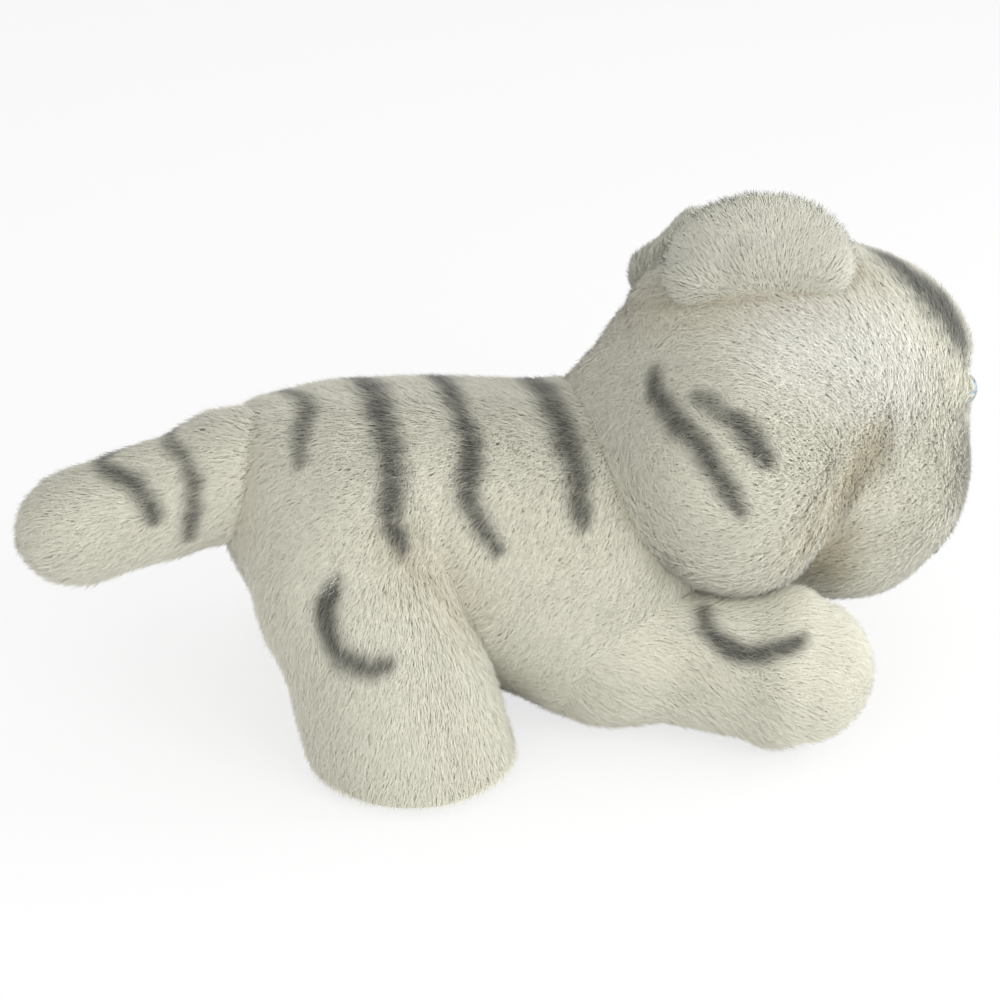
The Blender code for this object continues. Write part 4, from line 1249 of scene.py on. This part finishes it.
# Face: glossy eyes, a satin nose and a stitched mouth

def places_in(name):
    """The different vertices of a CAD node."""
    mesh = bpy.data.objects[name].data
    places = np.empty(len(mesh.vertices) * 3)
    mesh.vertices.foreach_get("co", places)
    return np.unique(places.reshape(-1, 3).round(6), axis=0)


def seat(name, washer):
    """Axes of a part of the face, as columns outwards from its washer, to the left and up, and its reach."""
    places = places_in(name)
    out = unit(places.mean(axis=0) - places_in(washer).mean(axis=0))
    side = unit(np.cross(HEAD_POSE[:, 2], out))
    axes = np.stack((out, side, np.cross(out, side)), axis=1)
    reach = places @ axes
    return axes, reach.min(axis=0), reach.max(axis=0)


def tube_faces(rings, sides):
    """Faces of a closed form whose vertices are a point, rings of so many sides, and a point."""
    last = rings * sides + 1
    faces = []
    for k in range(sides):
        after = (k + 1) % sides
        faces.append((0, 1 + k, 1 + after))
        for low in range(1, last - sides, sides):
            faces.append((low + k, low + sides + k, low + sides + after, low + after))
        faces.append((last, last - sides + after, last - sides + k))
    return faces


def circle(sides, first, second):
    angles = np.arange(sides) / sides * 2.0 * math.pi
    return np.cos(angles)[:, None] * first + np.sin(angles)[:, None] * second


def turned(name, profile, place, axes):
    """A closed form turned about an axis. The profile's rows are a height along it and a radius."""
    ring = circle(EYE_SIDES, axes[:, 1], axes[:, 2])
    tips = [place[None] + axes[:, 0] * profile[k][0] for k in (0, -1)]
    rows = [place + axes[:, 0] * height + ring * radius for height, radius in profile[1:-1]]
    return mesh_of(name, np.concatenate([tips[0], *rows, tips[1]]), tube_faces(len(rows), EYE_SIDES))


def place_eye(label):
    """A smooth dome over the eye's solid."""
    axes, low, high = seat("eye_" + label, "eye_washer_" + label)
    foot = axes @ np.array((high[0] - EYE_DOME_HEIGHT, *(low[1:] + high[1:]) / 2.0))
    angles = np.radians(np.linspace(90.0, 0.0, EYE_RINGS))
    profile = [(EYE_DOME_HEIGHT * math.sin(angle), EYE_RADIUS * math.cos(angle)) for angle in angles]
    profile += [(-EYE_SKIRT, EYE_RADIUS), (-EYE_SKIRT, EYE_RADIUS * 0.5), (-EYE_SKIRT, 0.0)]
    mesh = turned("eye_dome_" + label, profile, foot, axes)
    piece = new_piece(mesh.name, mesh, eye_material("eye_" + label, foot, axes[:, 0]), "head")
    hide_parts("eye_" + label)


def place_nose():
    """A smooth rounded pad in the form of the nose's solid, wider above."""
    axes, low, high = seat("nose", "nose_washer")
    high[0] += NOSE_SWELL
    low[0] = high[0] - NOSE_PAD_DEPTH
    middle, half = (low + high) / 2.0, (high - low) / 2.0

    def form(points):
        local = (points @ axes - middle) / half
        local[:, 1] /= 1.0 + NOSE_TAPER * local[:, 2]
        return ((np.abs(local) ** NOSE_POWER).sum(axis=1) ** (1.0 / NOSE_POWER) - 1.0) * half.min()

    centre = axes @ middle
    reach = np.linalg.norm(half)
    vertices, quads = surface_net(form, centre - reach, centre + reach, NOSE_CELL)
    vertices = settle(form, vertices)
    mesh = mesh_of("nose_pad", vertices, quads)
    plastic = plastic_material("nose", NOSE_COLOUR, 0.42, 1600.0)
    piece = new_piece("nose_pad", mesh, plastic, "head")
    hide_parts("nose")


def eye_material(name, centre, axis):
    """A dark pupil, a blue iris with streaks and a dark rim, by the angle from the eye's axis."""
    material, tree, shader = new_material(name, 0.08)
    shader.inputs["Coat Weight"].default_value = 1.0
    shader.inputs["Coat Roughness"].default_value = 0.03
    place = node(tree, "ShaderNodeTexCoord")
    local = node(tree, "ShaderNodeVectorMath", {1: Vector(centre)}, operation="SUBTRACT")
    along = node(tree, "ShaderNodeVectorMath", {1: Vector(axis)}, operation="DOT_PRODUCT")
    back = node(tree, "ShaderNodeVectorMath", {0: Vector(axis)}, operation="SCALE")
    flat = node(tree, "ShaderNodeVectorMath", operation="SUBTRACT")
    away = node(tree, "ShaderNodeVectorMath", operation="LENGTH")
    share = node(tree, "ShaderNodeMath", {1: EYE_RADIUS}, operation="DIVIDE")
    ramp = node(tree, "ShaderNodeValToRGB")
    streaks = node(tree, "ShaderNodeTexNoise", {"Scale": 900.0, "Detail": 2.0})
    wobble = node(tree, "ShaderNodeMapRange", {"To Min": -0.10, "To Max": 0.10})
    total = node(tree, "ShaderNodeMath", operation="ADD")
    stops = ramp.color_ramp.elements
    stops.remove(stops[1])
    stops[0].color = (*EYE_COLOURS[0][1], 1.0)
    for place_on_ramp, colour in EYE_COLOURS[1:]:
        stops.new(place_on_ramp).color = (*colour, 1.0)
    wire(
        tree, (place, "Object", local, 0), (local, "Vector", along, 0), (along, "Value", back, "Scale"),
        (local, "Vector", flat, 0), (back, "Vector", flat, 1), (flat, "Vector", away, 0),
        (away, "Value", share, 0), (place, "Object", streaks, "Vector"), (streaks, "Fac", wobble, "Value"),
        (share, "Value", total, 0), (wobble, "Result", total, 1), (total, "Value", ramp, "Fac"),
        (ramp, "Color", shader, "Base Color"))
    return material


def plastic_material(name, colour, roughness, grain_scale):
    material, tree, shader = new_material(name, roughness)
    place = node(tree, "ShaderNodeTexCoord")
    grain = node(tree, "ShaderNodeTexNoise", {"Scale": grain_scale, "Detail": 3.0})
    dark = tuple(part * 0.82 for part in colour)
    ramp = node(tree, "ShaderNodeMix", data_type="RGBA")
    ramp.inputs["A"].default_value = (*dark, 1.0)
    ramp.inputs["B"].default_value = (*colour, 1.0)
    rough = node(tree, "ShaderNodeMapRange", {"To Min": roughness - 0.08, "To Max": roughness + 0.10})
    bump = node(tree, "ShaderNodeBump", {"Strength": 0.15, "Distance": 0.0003})
    wire(
        tree, (place, "Object", grain, "Vector"), (grain, "Fac", ramp, "Factor"),
        (ramp, "Result", shader, "Base Color"), (grain, "Fac", rough, "Value"),
        (rough, "Result", shader, "Roughness"), (grain, "Fac", bump, "Height"),
        (bump, "Normal", shader, "Normal"))
    return material


def give_material(name, material):
    data = bpy.data.objects[name]
    data.data.materials.clear()
    data.data.materials.append(material)


def stitch(start, end):
    """A thread's stitch between two points, thickest in its middle and sunk at its ends."""
    ahead = end - start
    middle = (start + end) / 2.0
    out = unit(middle - NECK)
    out = unit(out - unit(ahead) * (out @ unit(ahead)))
    side = np.cross(unit(ahead), out)
    ring = circle(STITCH_SIDES, side, out)
    places = [start - out * STITCH_RADIUS]
    for share, thick in STITCH_SHARES:
        centre = start + ahead * share + out * (STITCH_LIFT - STITCH_RADIUS * (1.0 - thick))
        places.extend(centre + ring * STITCH_RADIUS * thick)
    places.append(end - out * STITCH_RADIUS)
    return np.array(places)


def sew_mouth():
    """Satin stitches end to end along the mouth's lines, as one piece."""
    stitches = []
    for places in MOUTH_LINES:
        line = on_head(places, 9)
        lengths = np.concatenate(([0.0], np.cumsum(np.linalg.norm(np.diff(line, axis=0), axis=1))))
        ends = np.linspace(0.0, lengths[-1], int(round(lengths[-1] / STITCH_LENGTH)) + 1)
        points = np.stack([np.interp(ends, lengths, line[:, axis]) for axis in range(3)], axis=1)
        stitches += [stitch(start, end) for start, end in zip(points, points[1:])]
    size = len(stitches[0])
    faces = tube_faces(len(STITCH_SHARES), STITCH_SIDES)
    faces = [[corner + k * size for corner in face] for k in range(len(stitches)) for face in faces]
    mesh = mesh_of("mouth_stitches", np.concatenate(stitches), faces)
    set_colours(mesh, np.tile(THREAD, (size * len(stitches), 1)))
    new_piece("mouth_stitches", mesh, THREAD_MATERIAL, "head")


sew_mouth()

for label, _ in SIDES:
    place_eye(label)
place_nose()
WASHER_MATERIAL = plastic_material("washers", WASHER_COLOUR, 0.45, 700.0)
for name in ("nose_washer", "eye_washer_left", "eye_washer_right"):
    give_material(name, WASHER_MATERIAL)


# Studio

def stand(name, data, place, turn):
    """A new object of the scene at a place, turned."""
    made = bpy.data.objects.new(name, data)
    bpy.context.scene.collection.objects.link(made)
    made.matrix_world = Matrix.Translation(place) @ turn.to_4x4()
    return made


def make_camera():
    data = bpy.data.cameras.new("camera")
    data.lens = CAMERA_LENS_MM
    data.sensor_width = CAMERA_SENSOR_MM
    bpy.context.scene.camera = stand("camera", data, CAMERA_PLACE, CAMERA_TURN)


def make_light(name, place, size, power):
    data = bpy.data.lights.new(name, "AREA")
    data.size = size
    data.energy = power
    aim = (CAMERA_TARGET - Vector(place)).to_track_quat("-Z", "Y").to_matrix()
    stand(name, data, Vector(place), aim)


def make_floor():
    corners = [(x * FLOOR_HALF, y * FLOOR_HALF, 0.0) for x, y in ((-1, -1), (1, -1), (1, 1), (-1, 1))]
    mesh = mesh_of("floor", np.array(corners), np.array([(0, 1, 2, 3)]))
    floor = stand("floor", mesh, Vector(), Matrix.Identity(3))
    material, tree, shader = new_material("floor", 0.9)
    shader.inputs["Base Color"].default_value = (0.93, 0.93, 0.93, 1.0)
    shader.inputs["Specular IOR Level"].default_value = 0.0
    light_path = node(tree, "ShaderNodeLightPath")
    share = node(tree, "ShaderNodeMath", {1: FLOOR_GLOW}, operation="MULTIPLY")
    glow = node(tree, "ShaderNodeEmission", {"Color": (1.0, 1.0, 1.0, 1.0), "Strength": 1.0})
    mix = node(tree, "ShaderNodeMixShader")
    wire(
        tree, (light_path, "Is Camera Ray", share, 0), (share, "Value", mix, "Fac"),
        (shader, "BSDF", mix, 1), (glow, "Emission", mix, 2),
        (mix, "Shader", tree.nodes["Material Output"], "Surface"))
    mesh.materials.append(material)
    floor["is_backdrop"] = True


def make_world():
    world = bpy.data.worlds.new("studio")
    bpy.context.scene.world = world
    world.use_nodes = True
    tree = world.node_tree
    background = tree.nodes["Background"]
    background.inputs["Color"].default_value = (1.0, 1.0, 1.0, 1.0)
    light_path = node(tree, "ShaderNodeLightPath")
    strength = node(tree, "ShaderNodeMapRange", {"To Min": WORLD_LIGHT, "To Max": 1.0})
    wire(tree, (light_path, "Is Camera Ray", strength, "Value"), (strength, "Result", background, "Strength"))


make_camera()
make_floor()
make_world()
for name, settings in LAMPS.items():
    make_light(name, *settings)
bpy.context.scene.view_settings.view_transform = "Standard"

[[list(corner) for corner in box] for box in (CAD_BOX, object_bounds())]
